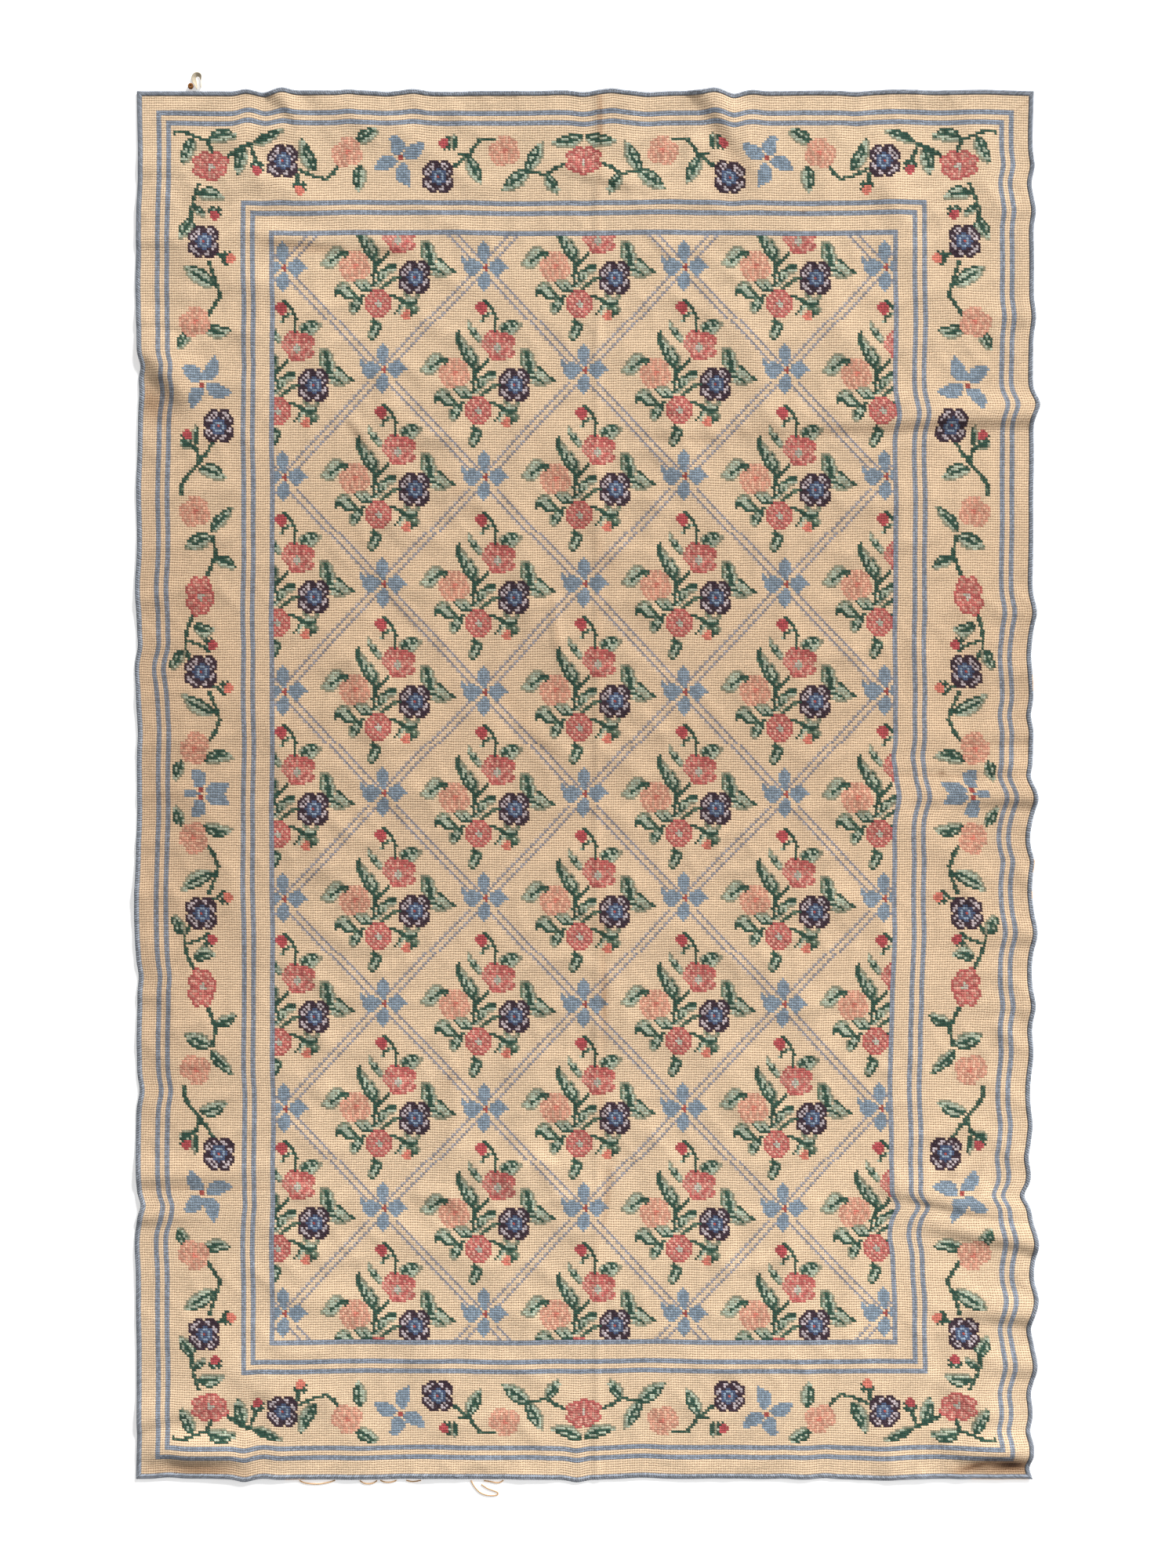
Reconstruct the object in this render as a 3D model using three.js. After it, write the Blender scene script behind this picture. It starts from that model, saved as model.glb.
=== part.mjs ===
// A needlepoint rug lying face up on a floor: one wool-stitched canvas cloth with its storage crease,
// its ridges and its wavy outline, a whipped wool edge in four mitred lengths, a tape tie with a knot
// at the top edge, and the yarn that has worked loose along the bottom edge.
// Millimetres, +Z up. +X is the rug's right side and +Y its top end, seen from above.
// The origin is on the floor, under the middle of the rug's box.
import * as THREE from 'three';

// Driving dimensions
const RUG_WIDTH = 1815;
const RUG_LENGTH = 2809;
const CLOTH_THICKNESS = 4;
const EDGE_WIDTH = 10;
const EDGE_HEIGHT = 6;
const GAP = 0.3;
const EDGE_DEPTH = 170;
const CREASE_X = 25;
const CREASE_HALF = 14;
const CREASE_HEIGHT = 2.4;
const FOLD_LEAN = 0.3;
const YARN_DIAMETER = 3;
const FLOOR_CLEARANCE = 0.1;
const TAPE_WIDTH = 9.5;
const TAPE_THICKNESS = 1;
const ROW_COUNT = 110;
const COLUMN_COUNT = 22;
const CREASE_CLEARANCE = 36;
const TAPE_STEPS = 30;
const YARN_STEP = 6.6;
const YARN_SIDES = 8;
const BOX_CENTRE = { x: 4.3, y: 0.9 };

// Ridges: middle, direction in degrees from +X, half length, half width and height. The side to the
// right of the direction is the steeper one.
const FOLDS = [
  { name: 'right_upper', x: 914, y: 751, turn: 2, reach: 790, half: 50, height: 11 },
  { name: 'right_upper_end', x: 200, y: 712, turn: -2, reach: 130, half: 26, height: 3 },
  { name: 'right_middle', x: 911, y: -23, turn: 0, reach: 420, half: 44, height: 11 },
  { name: 'right_middle_line', x: 790, y: 34, turn: 0, reach: 360, half: 24, height: 3 },
  { name: 'right_middle_small', x: 911, y: 102, turn: 0, reach: 260, half: 30, height: 4 },
  { name: 'right_lower', x: 919, y: -932, turn: -13, reach: 340, half: 46, height: 14 },
  { name: 'right_lower_step', x: 740, y: -843, turn: -14, reach: 250, half: 48, height: 10 },
  { name: 'right_lower_second', x: 919, y: -1070, turn: -4, reach: 300, half: 46, height: 11 },
  { name: 'right_edge_780', x: 914, y: 351, turn: 0, reach: 180, half: 40, height: 5 },
  { name: 'right_edge_1190', x: 917, y: -300, turn: 3, reach: 260, half: 45, height: 6 },
  { name: 'right_edge_1284', x: 916, y: -449, turn: 0, reach: 200, half: 40, height: 6 },
  { name: 'right_edge_406', x: 914, y: 945, turn: 0, reach: 160, half: 40, height: 5 },
  { name: 'right_edge_268', x: 912, y: 1164, turn: 0, reach: 150, half: 36, height: 4 },
  { name: 'right_edge_1742', x: 916, y: -1176, turn: 0, reach: 170, half: 44, height: 7 },
  { name: 'right_bottom_corner', x: 842, y: -1350, turn: -2, reach: 150, half: 44, height: 18 },
  { name: 'left_hollow', x: -852, y: 832, turn: -48, reach: 125, half: 66, height: 18 },
  { name: 'left_420', x: -905, y: 940, turn: -6, reach: 330, half: 32, height: 4 },
  { name: 'left_320', x: -905, y: 1100, turn: -2, reach: 260, half: 30, height: 3 },
  { name: 'left_top_band', x: -905, y: 1248, turn: 0, reach: 160, half: 40, height: 4 },
  { name: 'left_lower', x: -899, y: -792, turn: 3, reach: 380, half: 40, height: 7 },
  { name: 'left_lower_second', x: -899, y: -871, turn: 0, reach: 170, half: 40, height: 7 },
  { name: 'left_bottom_diagonal', x: -899, y: -1288, turn: 15, reach: 430, half: 44, height: 7 },
  { name: 'left_bottom_hem', x: -777, y: -1352, turn: 0, reach: 165, half: 44, height: 17 },
  { name: 'top_diagonal', x: 240, y: 1402, turn: -54, reach: 240, half: 50, height: 11 },
  { name: 'top_left', x: -618, y: 1388, turn: -50, reach: 120, half: 34, height: 7 },
  { name: 'top_middle', x: 40, y: 1228, turn: -14, reach: 160, half: 30, height: 5 },
  { name: 'field_middle', x: -89, y: 94, turn: -35, reach: 110, half: 26, height: 3 },
  { name: 'field_top_left', x: -577, y: 1107, turn: -5, reach: 160, half: 28, height: 5 },
  { name: 'field_low_left', x: -290, y: -834, turn: -7, reach: 90, half: 26, height: 4 },
];

// Waves of the outline: side, place along it, half width, and how far it stands out
const WAVES = [
  { side: 'right', at: 1256, half: 19, out: 3.5 },
  { side: 'right', at: 1218, half: 19, out: -3 },
  { side: 'right', at: 1161, half: 25, out: 5 },
  { side: 'right', at: 945, half: 32, out: 5 },
  { side: 'right', at: 770, half: 24, out: 13 },
  { side: 'right', at: 351, half: 28, out: 6.5 },
  { side: 'right', at: 259, half: 45, out: -5 },
  { side: 'right', at: 142, half: 24, out: -6 },
  { side: 'right', at: 18, half: 20, out: -5 },
  { side: 'right', at: -27, half: 28, out: 9 },
  { side: 'right', at: -106, half: 35, out: -6 },
  { side: 'right', at: -154, half: 18, out: 4 },
  { side: 'right', at: -211, half: 32, out: -3 },
  { side: 'right', at: -300, half: 35, out: 9.5 },
  { side: 'right', at: -449, half: 32, out: 8 },
  { side: 'right', at: -538, half: 40, out: 5 },
  { side: 'right', at: -620, half: 40, out: -3 },
  { side: 'right', at: -687, half: 25, out: 3.5 },
  { side: 'right', at: -754, half: 22, out: -5 },
  { side: 'right', at: -830, half: 20, out: -13 },
  { side: 'right', at: -925, half: 38, out: 12 },
  { side: 'right', at: -1039, half: 30, out: 10 },
  { side: 'right', at: -1100, half: 22, out: -5 },
  { side: 'right', at: -1176, half: 32, out: 8 },
  { side: 'right', at: -1230, half: 22, out: -3.5 },
  { side: 'right', at: -1306, half: 20, out: -6.5 },
  { side: 'right', at: -1382, half: 18, out: -8 },
  { side: 'left', at: 1288, half: 90, out: -2 },
  { side: 'left', at: 1018, half: 50, out: 2 },
  { side: 'left', at: 847, half: 18, out: -6 },
  { side: 'left', at: 724, half: 90, out: -3 },
  { side: 'left', at: 402, half: 45, out: 3.5 },
  { side: 'left', at: 278, half: 25, out: -4 },
  { side: 'left', at: 100, half: 40, out: -2.5 },
  { side: 'left', at: -260, half: 85, out: 4 },
  { side: 'left', at: -388, half: 22, out: -3 },
  { side: 'left', at: -620, half: 25, out: -6 },
  { side: 'left', at: -752, half: 60, out: 3 },
  { side: 'left', at: -849, half: 18, out: -8 },
  { side: 'left', at: -927, half: 50, out: 5 },
  { side: 'top', at: -689, half: 16, out: 4 },
  { side: 'top', at: -651, half: 16, out: -4 },
  { side: 'top', at: -613, half: 18, out: 5.5 },
  { side: 'top', at: -480, half: 18, out: 2.4 },
  { side: 'top', at: -404, half: 25, out: -2.4 },
  { side: 'top', at: -346, half: 22, out: 4 },
  { side: 'top', at: -4, half: 22, out: -4 },
  { side: 'top', at: 54, half: 22, out: 4 },
  { side: 'top', at: 125, half: 28, out: -2.4 },
  { side: 'top', at: 263, half: 20, out: 5.5 },
  { side: 'top', at: 301, half: 16, out: -4.5 },
  { side: 'top', at: 339, half: 22, out: 4 },
  { side: 'top', at: 549, half: 22, out: -2.4 },
  { side: 'top', at: 640, half: 50, out: 2 },
  { side: 'top', at: 800, half: 70, out: 3.5 },
  { side: 'bottom', at: -842, half: 25, out: -3 },
  { side: 'bottom', at: -689, half: 18, out: 5 },
  { side: 'bottom', at: -648, half: 20, out: -3 },
  { side: 'bottom', at: -16, half: 20, out: 5 },
  { side: 'bottom', at: 114, half: 40, out: -2.4 },
  { side: 'bottom', at: 403, half: 30, out: -2.4 },
  { side: 'bottom', at: 485, half: 25, out: -2.4 },
  { side: 'bottom', at: 601, half: 40, out: 2 },
];

// Places where the cloth has been pulled out of square: middle, reach each way and shift
const PULLS = [
  { name: 'right_border', x: 640, y: -640, reachX: 330, reachY: 330, dx: -10, dy: 0 },
  { name: 'left_border', x: -640, y: -640, reachX: 330, reachY: 330, dx: 2, dy: 0 },
  { name: 'right_upper_fold', x: 660, y: 746, reachX: 130, reachY: 28, dx: 8, dy: 0 },
  { name: 'right_middle_notch', x: 645, y: 56, reachX: 90, reachY: 22, dx: -5, dy: 0 },
  { name: 'right_middle_fold', x: 690, y: -27, reachX: 120, reachY: 32, dx: 9, dy: 0 },
  { name: 'right_lower_fold', x: 680, y: -853, reachX: 120, reachY: 18, dx: 14, dy: 0 },
  { name: 'right_lower_back', x: 680, y: -911, reachX: 120, reachY: 30, dx: -8, dy: 0 },
  { name: 'left_upper_hollow', x: -854, y: 795, reachX: 60, reachY: 36, dx: 8, dy: 0 },
  { name: 'left_middle', x: -850, y: 240, reachX: 60, reachY: 40, dx: -7, dy: 0 },
  { name: 'left_lower_wave', x: -843, y: -875, reachX: 60, reachY: 22, dx: 7, dy: 0 },
  { name: 'top_left_fold', x: -668, y: 1351, reachX: 28, reachY: 45, dx: 0, dy: 5 },
];

const OUTWARD = {
  right: { x: 1, y: 0 },
  left: { x: -1, y: 0 },
  top: { x: 0, y: 1 },
  bottom: { x: 0, y: -1 },
};

function bell(distance, half) {
  return Math.exp(-((distance / half) ** 2));
}

function hump(distance, half) {
  return Math.abs(distance) < half ? 0.5 + 0.5 * Math.cos((Math.PI * distance) / half) : 0;
}

// Height of the cloth's underside above the floor, at a place on the flat rug
function lift(u, v) {
  let height = CREASE_HEIGHT * hump(u - CREASE_X, CREASE_HALF);
  for (const fold of FOLDS) {
    const turn = THREE.MathUtils.degToRad(fold.turn);
    const along = (u - fold.x) * Math.cos(turn) + (v - fold.y) * Math.sin(turn);
    const across = (v - fold.y) * Math.cos(turn) - (u - fold.x) * Math.sin(turn);
    const half = fold.half * (across > 0 ? 1 + FOLD_LEAN : 1 - FOLD_LEAN);
    height = Math.max(height, fold.height * hump(along, fold.reach) * hump(across, half));
  }
  return height;
}

// A place on the flat rug, moved sideways by the waves of its outline and by the pulls
function settle(u, v) {
  const place = new THREE.Vector2(u, v);
  const inside = {
    right: RUG_WIDTH / 2 - u,
    left: RUG_WIDTH / 2 + u,
    top: RUG_LENGTH / 2 - v,
    bottom: RUG_LENGTH / 2 + v,
  };
  for (const wave of WAVES) {
    const outward = OUTWARD[wave.side];
    const along = outward.x === 0 ? u : v;
    const shift = wave.out * bell(along - wave.at, wave.half) * bell(inside[wave.side], EDGE_DEPTH);
    place.x += outward.x * shift;
    place.y += outward.y * shift;
  }
  for (const pull of PULLS) {
    const share = bell(u - pull.x, pull.reachX) * bell(v - pull.y, pull.reachY);
    place.x += pull.dx * share;
    place.y += pull.dy * share;
  }
  return place;
}

function onRug(u, v, above) {
  const place = settle(u, v);
  return [place.x, place.y, lift(u, v) + above];
}

// Steps from -1 to 1, even but for the storage crease, which has lines on both flanks and its top
function columnSteps() {
  const halfWidth = RUG_WIDTH / 2;
  const crease = [CREASE_X - CREASE_HALF, CREASE_X, CREASE_X + CREASE_HALF].map((x) => x / halfWidth);
  const even = rowSteps(COLUMN_COUNT).filter((step) => Math.abs(step * halfWidth - CREASE_X) > CREASE_CLEARANCE);
  return [...even, ...crease].sort((a, b) => a - b);
}

function rowSteps(count) {
  return Array.from({ length: count + 1 }, (_, i) => -1 + (2 * i) / count);
}

function meshFrom(positions, faces) {
  const geometry = new THREE.BufferGeometry();
  geometry.setAttribute('position', new THREE.Float32BufferAttribute(positions.flat(), 3));
  geometry.setIndex(faces.flat());
  geometry.computeVertexNormals();
  return geometry;
}

// The cloth: a grid of points on its face, the same on its underside, and a rim that joins them
function clothGeometry() {
  const halfX = RUG_WIDTH / 2 - EDGE_WIDTH - GAP;
  const halfY = RUG_LENGTH / 2 - EDGE_WIDTH - GAP;
  const columns = columnSteps();
  const rows = rowSteps(ROW_COUNT);
  const positions = [];
  for (const above of [0, CLOTH_THICKNESS]) {
    for (const row of rows) {
      for (const column of columns) positions.push(onRug(column * halfX, row * halfY, above));
    }
  }
  const wide = columns.length;
  const face = wide * rows.length;
  const faces = [];
  for (let j = 0; j < rows.length - 1; j += 1) {
    for (let i = 0; i < wide - 1; i += 1) {
      const a = j * wide + i;
      const b = a + 1;
      const c = a + wide;
      const d = c + 1;
      faces.push([a, c, d], [a, d, b]);
      faces.push([face + a, face + d, face + c], [face + a, face + b, face + d]);
    }
  }
  const rim = [];
  for (let i = 0; i < wide; i += 1) rim.push(i);
  for (let j = 1; j < rows.length; j += 1) rim.push(j * wide + wide - 1);
  for (let i = wide - 2; i >= 0; i -= 1) rim.push((rows.length - 1) * wide + i);
  for (let j = rows.length - 2; j > 0; j -= 1) rim.push(j * wide);
  rim.forEach((a, k) => {
    const b = rim[(k + 1) % rim.length];
    faces.push([a, b, face + b], [a, face + b, face + a]);
  });
  return meshFrom(positions, faces);
}

// A closed body through rings of points, the same number in each, with flat ends
function loft(rings) {
  const sides = rings[0].length;
  const positions = rings.flat();
  const faces = [];
  for (let k = 0; k < rings.length - 1; k += 1) {
    for (let s = 0; s < sides; s += 1) {
      const a = k * sides + s;
      const b = k * sides + ((s + 1) % sides);
      faces.push([a, b, b + sides], [a, b + sides, a + sides]);
    }
  }
  const last = (rings.length - 1) * sides;
  for (let s = 1; s < sides - 1; s += 1) {
    faces.push([0, s + 1, s], [last, last + s, last + s + 1]);
  }
  return meshFrom(positions, faces);
}

// Section of the whipped edge: across from the cloth outwards, and up
const EDGE_SECTION = [
  { across: 0, up: 0 },
  { across: 0.85 * EDGE_WIDTH, up: 0 },
  { across: EDGE_WIDTH, up: 0.3 * EDGE_HEIGHT },
  { across: EDGE_WIDTH, up: 0.7 * EDGE_HEIGHT },
  { across: 0.75 * EDGE_WIDTH, up: EDGE_HEIGHT },
  { across: 0, up: 0.87 * EDGE_HEIGHT },
];

function edgeGeometry(side) {
  const outward = OUTWARD[side];
  const isRow = outward.x === 0;
  const steps = isRow ? columnSteps() : rowSteps(ROW_COUNT);
  const halfAlong = (isRow ? RUG_WIDTH : RUG_LENGTH) / 2 - EDGE_WIDTH - GAP;
  const halfOut = (isRow ? RUG_LENGTH : RUG_WIDTH) / 2 - EDGE_WIDTH;
  const rings = steps.map((step) => EDGE_SECTION.map(({ across, up }) => {
    const along = step * (halfAlong + across);
    const out = halfOut + across;
    const u = isRow ? along : outward.x * out;
    const v = isRow ? outward.y * out : along;
    return onRug(u, v, up);
  }));
  const turnsOver = side === 'right' || side === 'bottom';
  return loft(turnsOver ? rings.map((ring) => ring.toReversed()) : rings);
}

// The tape tie lies flat, bends over and ends standing on its edge: turn is 0 flat and 90 on edge
const TAPE_ROUTE = [
  { x: -785.5, y: 1407.5, turn: 90 },
  { x: -787.5, y: 1416, turn: 60 },
  { x: -790.5, y: 1424, turn: 25 },
  { x: -792, y: 1431.1, turn: 20 },
  { x: -790.3, y: 1435.7, turn: 25 },
  { x: -786.1, y: 1438.1, turn: 30 },
  { x: -781.4, y: 1437.2, turn: 35 },
  { x: -778.2, y: 1433.5, turn: 50 },
  { x: -777, y: 1426, turn: 75 },
  { x: -776.8, y: 1418, turn: 88 },
  { x: -777.2, y: 1411, turn: 90 },
];

function tapeGeometry() {
  const rise = (turn) => TAPE_THICKNESS / 2 + FLOOR_CLEARANCE
    + (TAPE_WIDTH / 2) * Math.abs(Math.sin(THREE.MathUtils.degToRad(turn)));
  const route = new THREE.CatmullRomCurve3(TAPE_ROUTE.map(({ x, y, turn }) => new THREE.Vector3(x, y, turn)));
  const rings = [];
  for (let k = 0; k <= TAPE_STEPS; k += 1) {
    const at = route.getPoint(k / TAPE_STEPS);
    const along = route.getTangent(k / TAPE_STEPS).setZ(0).normalize();
    const turn = THREE.MathUtils.clamp(at.z, 0, 90);
    const centre = new THREE.Vector3(at.x, at.y, rise(turn));
    const flatWay = new THREE.Vector3(along.y, -along.x, 0);
    const wide = flatWay.clone().applyAxisAngle(along, THREE.MathUtils.degToRad(turn));
    const thick = new THREE.Vector3().crossVectors(wide, along);
    const corners = [[-1, -1], [-1, 1], [1, 1], [1, -1]];
    rings.push(corners.map(([w, t]) => centre.clone()
      .addScaledVector(wide, (w * TAPE_WIDTH) / 2)
      .addScaledVector(thick, (t * TAPE_THICKNESS) / 2)
      .toArray()));
  }
  return loft(rings);
}

// The knot beside the tape, a lump of wound thread
const KNOT = { x: -798, y: 1413.6, radiusX: 6, radiusY: 6.5, radiusZ: 4.5 };

function knotGeometry() {
  const geometry = new THREE.IcosahedronGeometry(1, 2);
  geometry.scale(KNOT.radiusX, KNOT.radiusY, KNOT.radiusZ);
  geometry.translate(KNOT.x, KNOT.y, KNOT.radiusZ + FLOOR_CLEARANCE);
  return geometry;
}

// Loose yarn along the bottom edge: each strand leaves the edge, lies on the floor and goes back
const YARNS = [
  { name: 'yarn_loop_1', route: [[-578, -1408], [-566, -1413], [-542, -1415], [-521, -1412], [-506, -1407.5]] },
  { name: 'yarn_loop_2', route: [[-456, -1408], [-448, -1413], [-438.5, -1414.5], [-429, -1413], [-421, -1408]] },
  { name: 'yarn_loop_3', route: [[-414.5, -1407.5], [-407, -1410.5], [-399, -1411.5], [-390, -1410.5], [-381.5, -1407.5]] },
  { name: 'yarn_loop_4', route: [[-362, -1407.5], [-352, -1409.7], [-343, -1409.5], [-332, -1407.5]] },
  { name: 'yarn_loop_5', route: [[-205, -1408], [-192, -1410], [-180, -1412.5], [-172, -1411.5], [-165.5, -1407.5]] },
  {
    name: 'yarn_bunch',
    route: [[-231, -1408], [-224, -1420], [-214, -1431], [-203, -1436.5], [-190, -1438.5],
      [-178, -1437], [-177, -1432], [-187, -1428], [-199, -1423], [-210, -1415.5]],
  },
];

function yarnGeometry(route) {
  const height = YARN_DIAMETER / 2 + FLOOR_CLEARANCE;
  const path = new THREE.CatmullRomCurve3(route.map(([x, y]) => new THREE.Vector3(x, y, height)));
  const section = new THREE.Shape();
  for (let s = 0; s < YARN_SIDES; s += 1) {
    const turn = (2 * Math.PI * s) / YARN_SIDES;
    const x = (YARN_DIAMETER / 2) * Math.cos(turn);
    const y = (YARN_DIAMETER / 2) * Math.sin(turn);
    if (s === 0) section.moveTo(x, y);
    else section.lineTo(x, y);
  }
  const steps = Math.round(path.getLength() / YARN_STEP);
  return new THREE.ExtrudeGeometry(section, { extrudePath: path, steps, bevelEnabled: false });
}

// Materials, by the colours of the real one
const wool = new THREE.MeshStandardMaterial({ color: 0xe4c79f, roughness: 0.95, metalness: 0 });
const blueWool = new THREE.MeshStandardMaterial({ color: 0x7f93ab, roughness: 0.95, metalness: 0 });
const tape = new THREE.MeshStandardMaterial({ color: 0xcfc3ad, roughness: 0.9, metalness: 0 });
const brownThread = new THREE.MeshStandardMaterial({ color: 0x8a6038, roughness: 0.9, metalness: 0 });
const looseYarn = new THREE.MeshStandardMaterial({ color: 0xd3ae84, roughness: 0.95, metalness: 0 });

const rug = new THREE.Group();
rug.position.set(-BOX_CENTRE.x, -BOX_CENTRE.y, 0);

function add(name, geometry, material) {
  const mesh = new THREE.Mesh(geometry, material);
  mesh.name = name;
  rug.add(mesh);
}

add('rug_cloth', clothGeometry(), wool);
for (const side of Object.keys(OUTWARD)) add(`edge_binding_${side}`, edgeGeometry(side), blueWool);
add('hanging_tie', tapeGeometry(), tape);
add('tie_knot', knotGeometry(), brownThread);
for (const { name, route } of YARNS) add(name, yarnGeometry(route), looseYarn);

export default rug;
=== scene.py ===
"""The needlepoint rug, dressed.

The stitched face is a mesh with one quad for each stitch. The stitches' yarns come from a chart
that this script draws: bands, a trellis, sprigs and a flowered border. Lengths are in millimetres
on the flat rug, and MM turns them into Blender's metres.
"""
import math

import bpy
import numpy as np
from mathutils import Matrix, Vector


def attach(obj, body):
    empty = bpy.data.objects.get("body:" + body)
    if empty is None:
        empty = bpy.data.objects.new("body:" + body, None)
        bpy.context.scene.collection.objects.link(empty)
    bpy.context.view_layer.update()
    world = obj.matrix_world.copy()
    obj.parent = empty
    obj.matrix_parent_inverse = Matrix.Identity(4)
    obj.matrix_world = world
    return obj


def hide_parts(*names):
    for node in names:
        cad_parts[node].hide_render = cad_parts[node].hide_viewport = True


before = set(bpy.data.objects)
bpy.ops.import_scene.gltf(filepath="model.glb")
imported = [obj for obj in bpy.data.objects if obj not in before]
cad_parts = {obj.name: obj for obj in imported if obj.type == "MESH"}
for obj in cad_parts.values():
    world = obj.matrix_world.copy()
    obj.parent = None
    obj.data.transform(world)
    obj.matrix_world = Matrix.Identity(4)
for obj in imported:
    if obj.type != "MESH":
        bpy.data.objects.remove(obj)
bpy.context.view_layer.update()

MM = 0.001

# Driving dimensions, the same as the solids'
RUG_WIDTH = 1815
RUG_LENGTH = 2809
CLOTH_THICKNESS = 4
EDGE_WIDTH = 10
GAP = 0.3
EDGE_DEPTH = 170
CREASE_X = 25
CREASE_HALF = 14
CREASE_HEIGHT = 2.4
FOLD_LEAN = 0.3
YARN_DIAMETER = 3
FLOOR_CLEARANCE = 0.1
TAPE_WIDTH = 9.5
TAPE_THICKNESS = 1
BOX_CENTRE = np.array([4.3, 0.9])

# Stitches of the cloth between its whipped edges
COLUMNS = 371
ROWS = 549
BAND = 55
MIDDLE_ROW = 274

# Where counted stitches lie across and along the flat rug, because its tension is uneven
COLUMN_PLACES = [0, BAND, COLUMNS - BAND, COLUMNS], [-897.2, -633.5, 627.9, 897.2]
ROW_PLACES = [0, BAND, MIDDLE_ROW, ROWS - BAND, ROWS], [1394.2, 1116.4, -15.5, -1127.5, -1394.2]

# Ridges: middle x and y, degrees from +X, half length, half width, height.
# The side to the right of the direction is the steeper one.
FOLDS = [
    (914, 751, 2, 790, 50, 11), (200, 712, -2, 130, 26, 3), (911, -23, 0, 420, 44, 11),
    (790, 34, 0, 360, 24, 3), (911, 102, 0, 260, 30, 4), (919, -932, -13, 340, 46, 14),
    (740, -843, -14, 250, 48, 10), (919, -1070, -4, 300, 46, 11), (914, 351, 0, 180, 40, 5),
    (917, -300, 3, 260, 45, 6), (916, -449, 0, 200, 40, 6), (914, 945, 0, 160, 40, 5),
    (912, 1164, 0, 150, 36, 4), (916, -1176, 0, 170, 44, 7), (842, -1350, -2, 150, 44, 18),
    (-852, 832, -48, 125, 66, 18), (-905, 940, -6, 330, 32, 4), (-905, 1100, -2, 260, 30, 3),
    (-905, 1248, 0, 160, 40, 4), (-899, -792, 3, 380, 40, 7), (-899, -871, 0, 170, 40, 7),
    (-899, -1288, 15, 430, 44, 7), (-777, -1352, 0, 165, 44, 17), (240, 1402, -54, 240, 50, 11),
    (-618, 1388, -50, 120, 34, 7), (40, 1228, -14, 160, 30, 5), (-89, 94, -35, 110, 26, 3),
    (-577, 1107, -5, 160, 28, 5), (-290, -834, -7, 90, 26, 4),
]

# Small creases that only show close up: the same columns
SMALL_FOLDS = [
    (-680, 1350, 65, 90, 30, 4), (-402, 1092, -6, 90, 22, 3), (150, 1092, -45, 70, 20, 2.5),
    (-455, 714, -52, 80, 22, 3), (-60, 305, -82, 100, 18, 3), (-368, 360, -48, 90, 22, 2.5),
    (-84, -775, -62, 90, 28, 3), (850, -465, -90, 130, 28, 3), (-840, -480, -90, 160, 26, 2.5),
]

# Waves of the outline on each side: place along it, half width, and how far it stands out
WAVES = {
    "right": [
        (1256, 19, 3.5), (1218, 19, -3), (1161, 25, 5), (945, 32, 5), (770, 24, 13), (351, 28, 6.5),
        (259, 45, -5), (142, 24, -6), (18, 20, -5), (-27, 28, 9), (-106, 35, -6), (-154, 18, 4),
        (-211, 32, -3), (-300, 35, 9.5), (-449, 32, 8), (-538, 40, 5), (-620, 40, -3), (-687, 25, 3.5),
        (-754, 22, -5), (-830, 20, -13), (-925, 38, 12), (-1039, 30, 10), (-1100, 22, -5),
        (-1176, 32, 8), (-1230, 22, -3.5), (-1306, 20, -6.5), (-1382, 18, -8),
    ],
    "left": [
        (1288, 90, -2), (1018, 50, 2), (847, 18, -6), (724, 90, -3), (402, 45, 3.5), (278, 25, -4),
        (100, 40, -2.5), (-260, 85, 4), (-388, 22, -3), (-620, 25, -6), (-752, 60, 3), (-849, 18, -8),
        (-927, 50, 5),
    ],
    "top": [
        (-689, 16, 4), (-651, 16, -4), (-613, 18, 5.5), (-480, 18, 2.4), (-404, 25, -2.4),
        (-346, 22, 4), (-4, 22, -4), (54, 22, 4), (125, 28, -2.4), (263, 20, 5.5), (301, 16, -4.5),
        (339, 22, 4), (549, 22, -2.4), (640, 50, 2), (800, 70, 3.5),
    ],
    "bottom": [
        (-842, 25, -3), (-689, 18, 5), (-648, 20, -3), (-16, 20, 5), (114, 40, -2.4), (403, 30, -2.4),
        (485, 25, -2.4), (601, 40, 2),
    ],
}

# Places where the cloth has been pulled out of square: x, y, reach each way, shift each way
PULLS = [
    (640, -640, 330, 330, -10, 0), (-640, -640, 330, 330, 2, 0), (660, 746, 130, 28, 8, 0),
    (645, 56, 90, 22, -5, 0), (690, -27, 120, 32, 9, 0), (680, -853, 120, 18, 14, 0),
    (680, -911, 120, 30, -8, 0), (-854, 795, 60, 36, 8, 0), (-850, 240, 60, 40, -7, 0),
    (-843, -875, 60, 22, 7, 0), (-668, 1351, 28, 45, 0, 5),
]

OUTWARD = {"right": (1, 0), "left": (-1, 0), "top": (0, 1), "bottom": (0, -1)}


def bell(distance, half):
    return np.exp(-((distance / half) ** 2))


def hump(distance, half):
    return np.where(np.abs(distance) < half, 0.5 + 0.5 * np.cos(np.pi * distance / half), 0.0)


def turned(u, v, x, y, turn):
    """How far places lie along and across a direction through x and y."""
    cosine = math.cos(math.radians(turn))
    sine = math.sin(math.radians(turn))
    return (u - x) * cosine + (v - y) * sine, (v - y) * cosine - (u - x) * sine


def ridges(u, v, table):
    """Height above the floor that a table of ridges gives, at places on the flat rug."""
    height = np.zeros_like(u)
    for x, y, turn, reach, half, top in table:
        along, across = turned(u, v, x, y, turn)
        side = half * np.where(across > 0, 1 + FOLD_LEAN, 1 - FOLD_LEAN)
        height = np.maximum(height, top * hump(along, reach) * hump(across, side))
    return height


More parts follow.
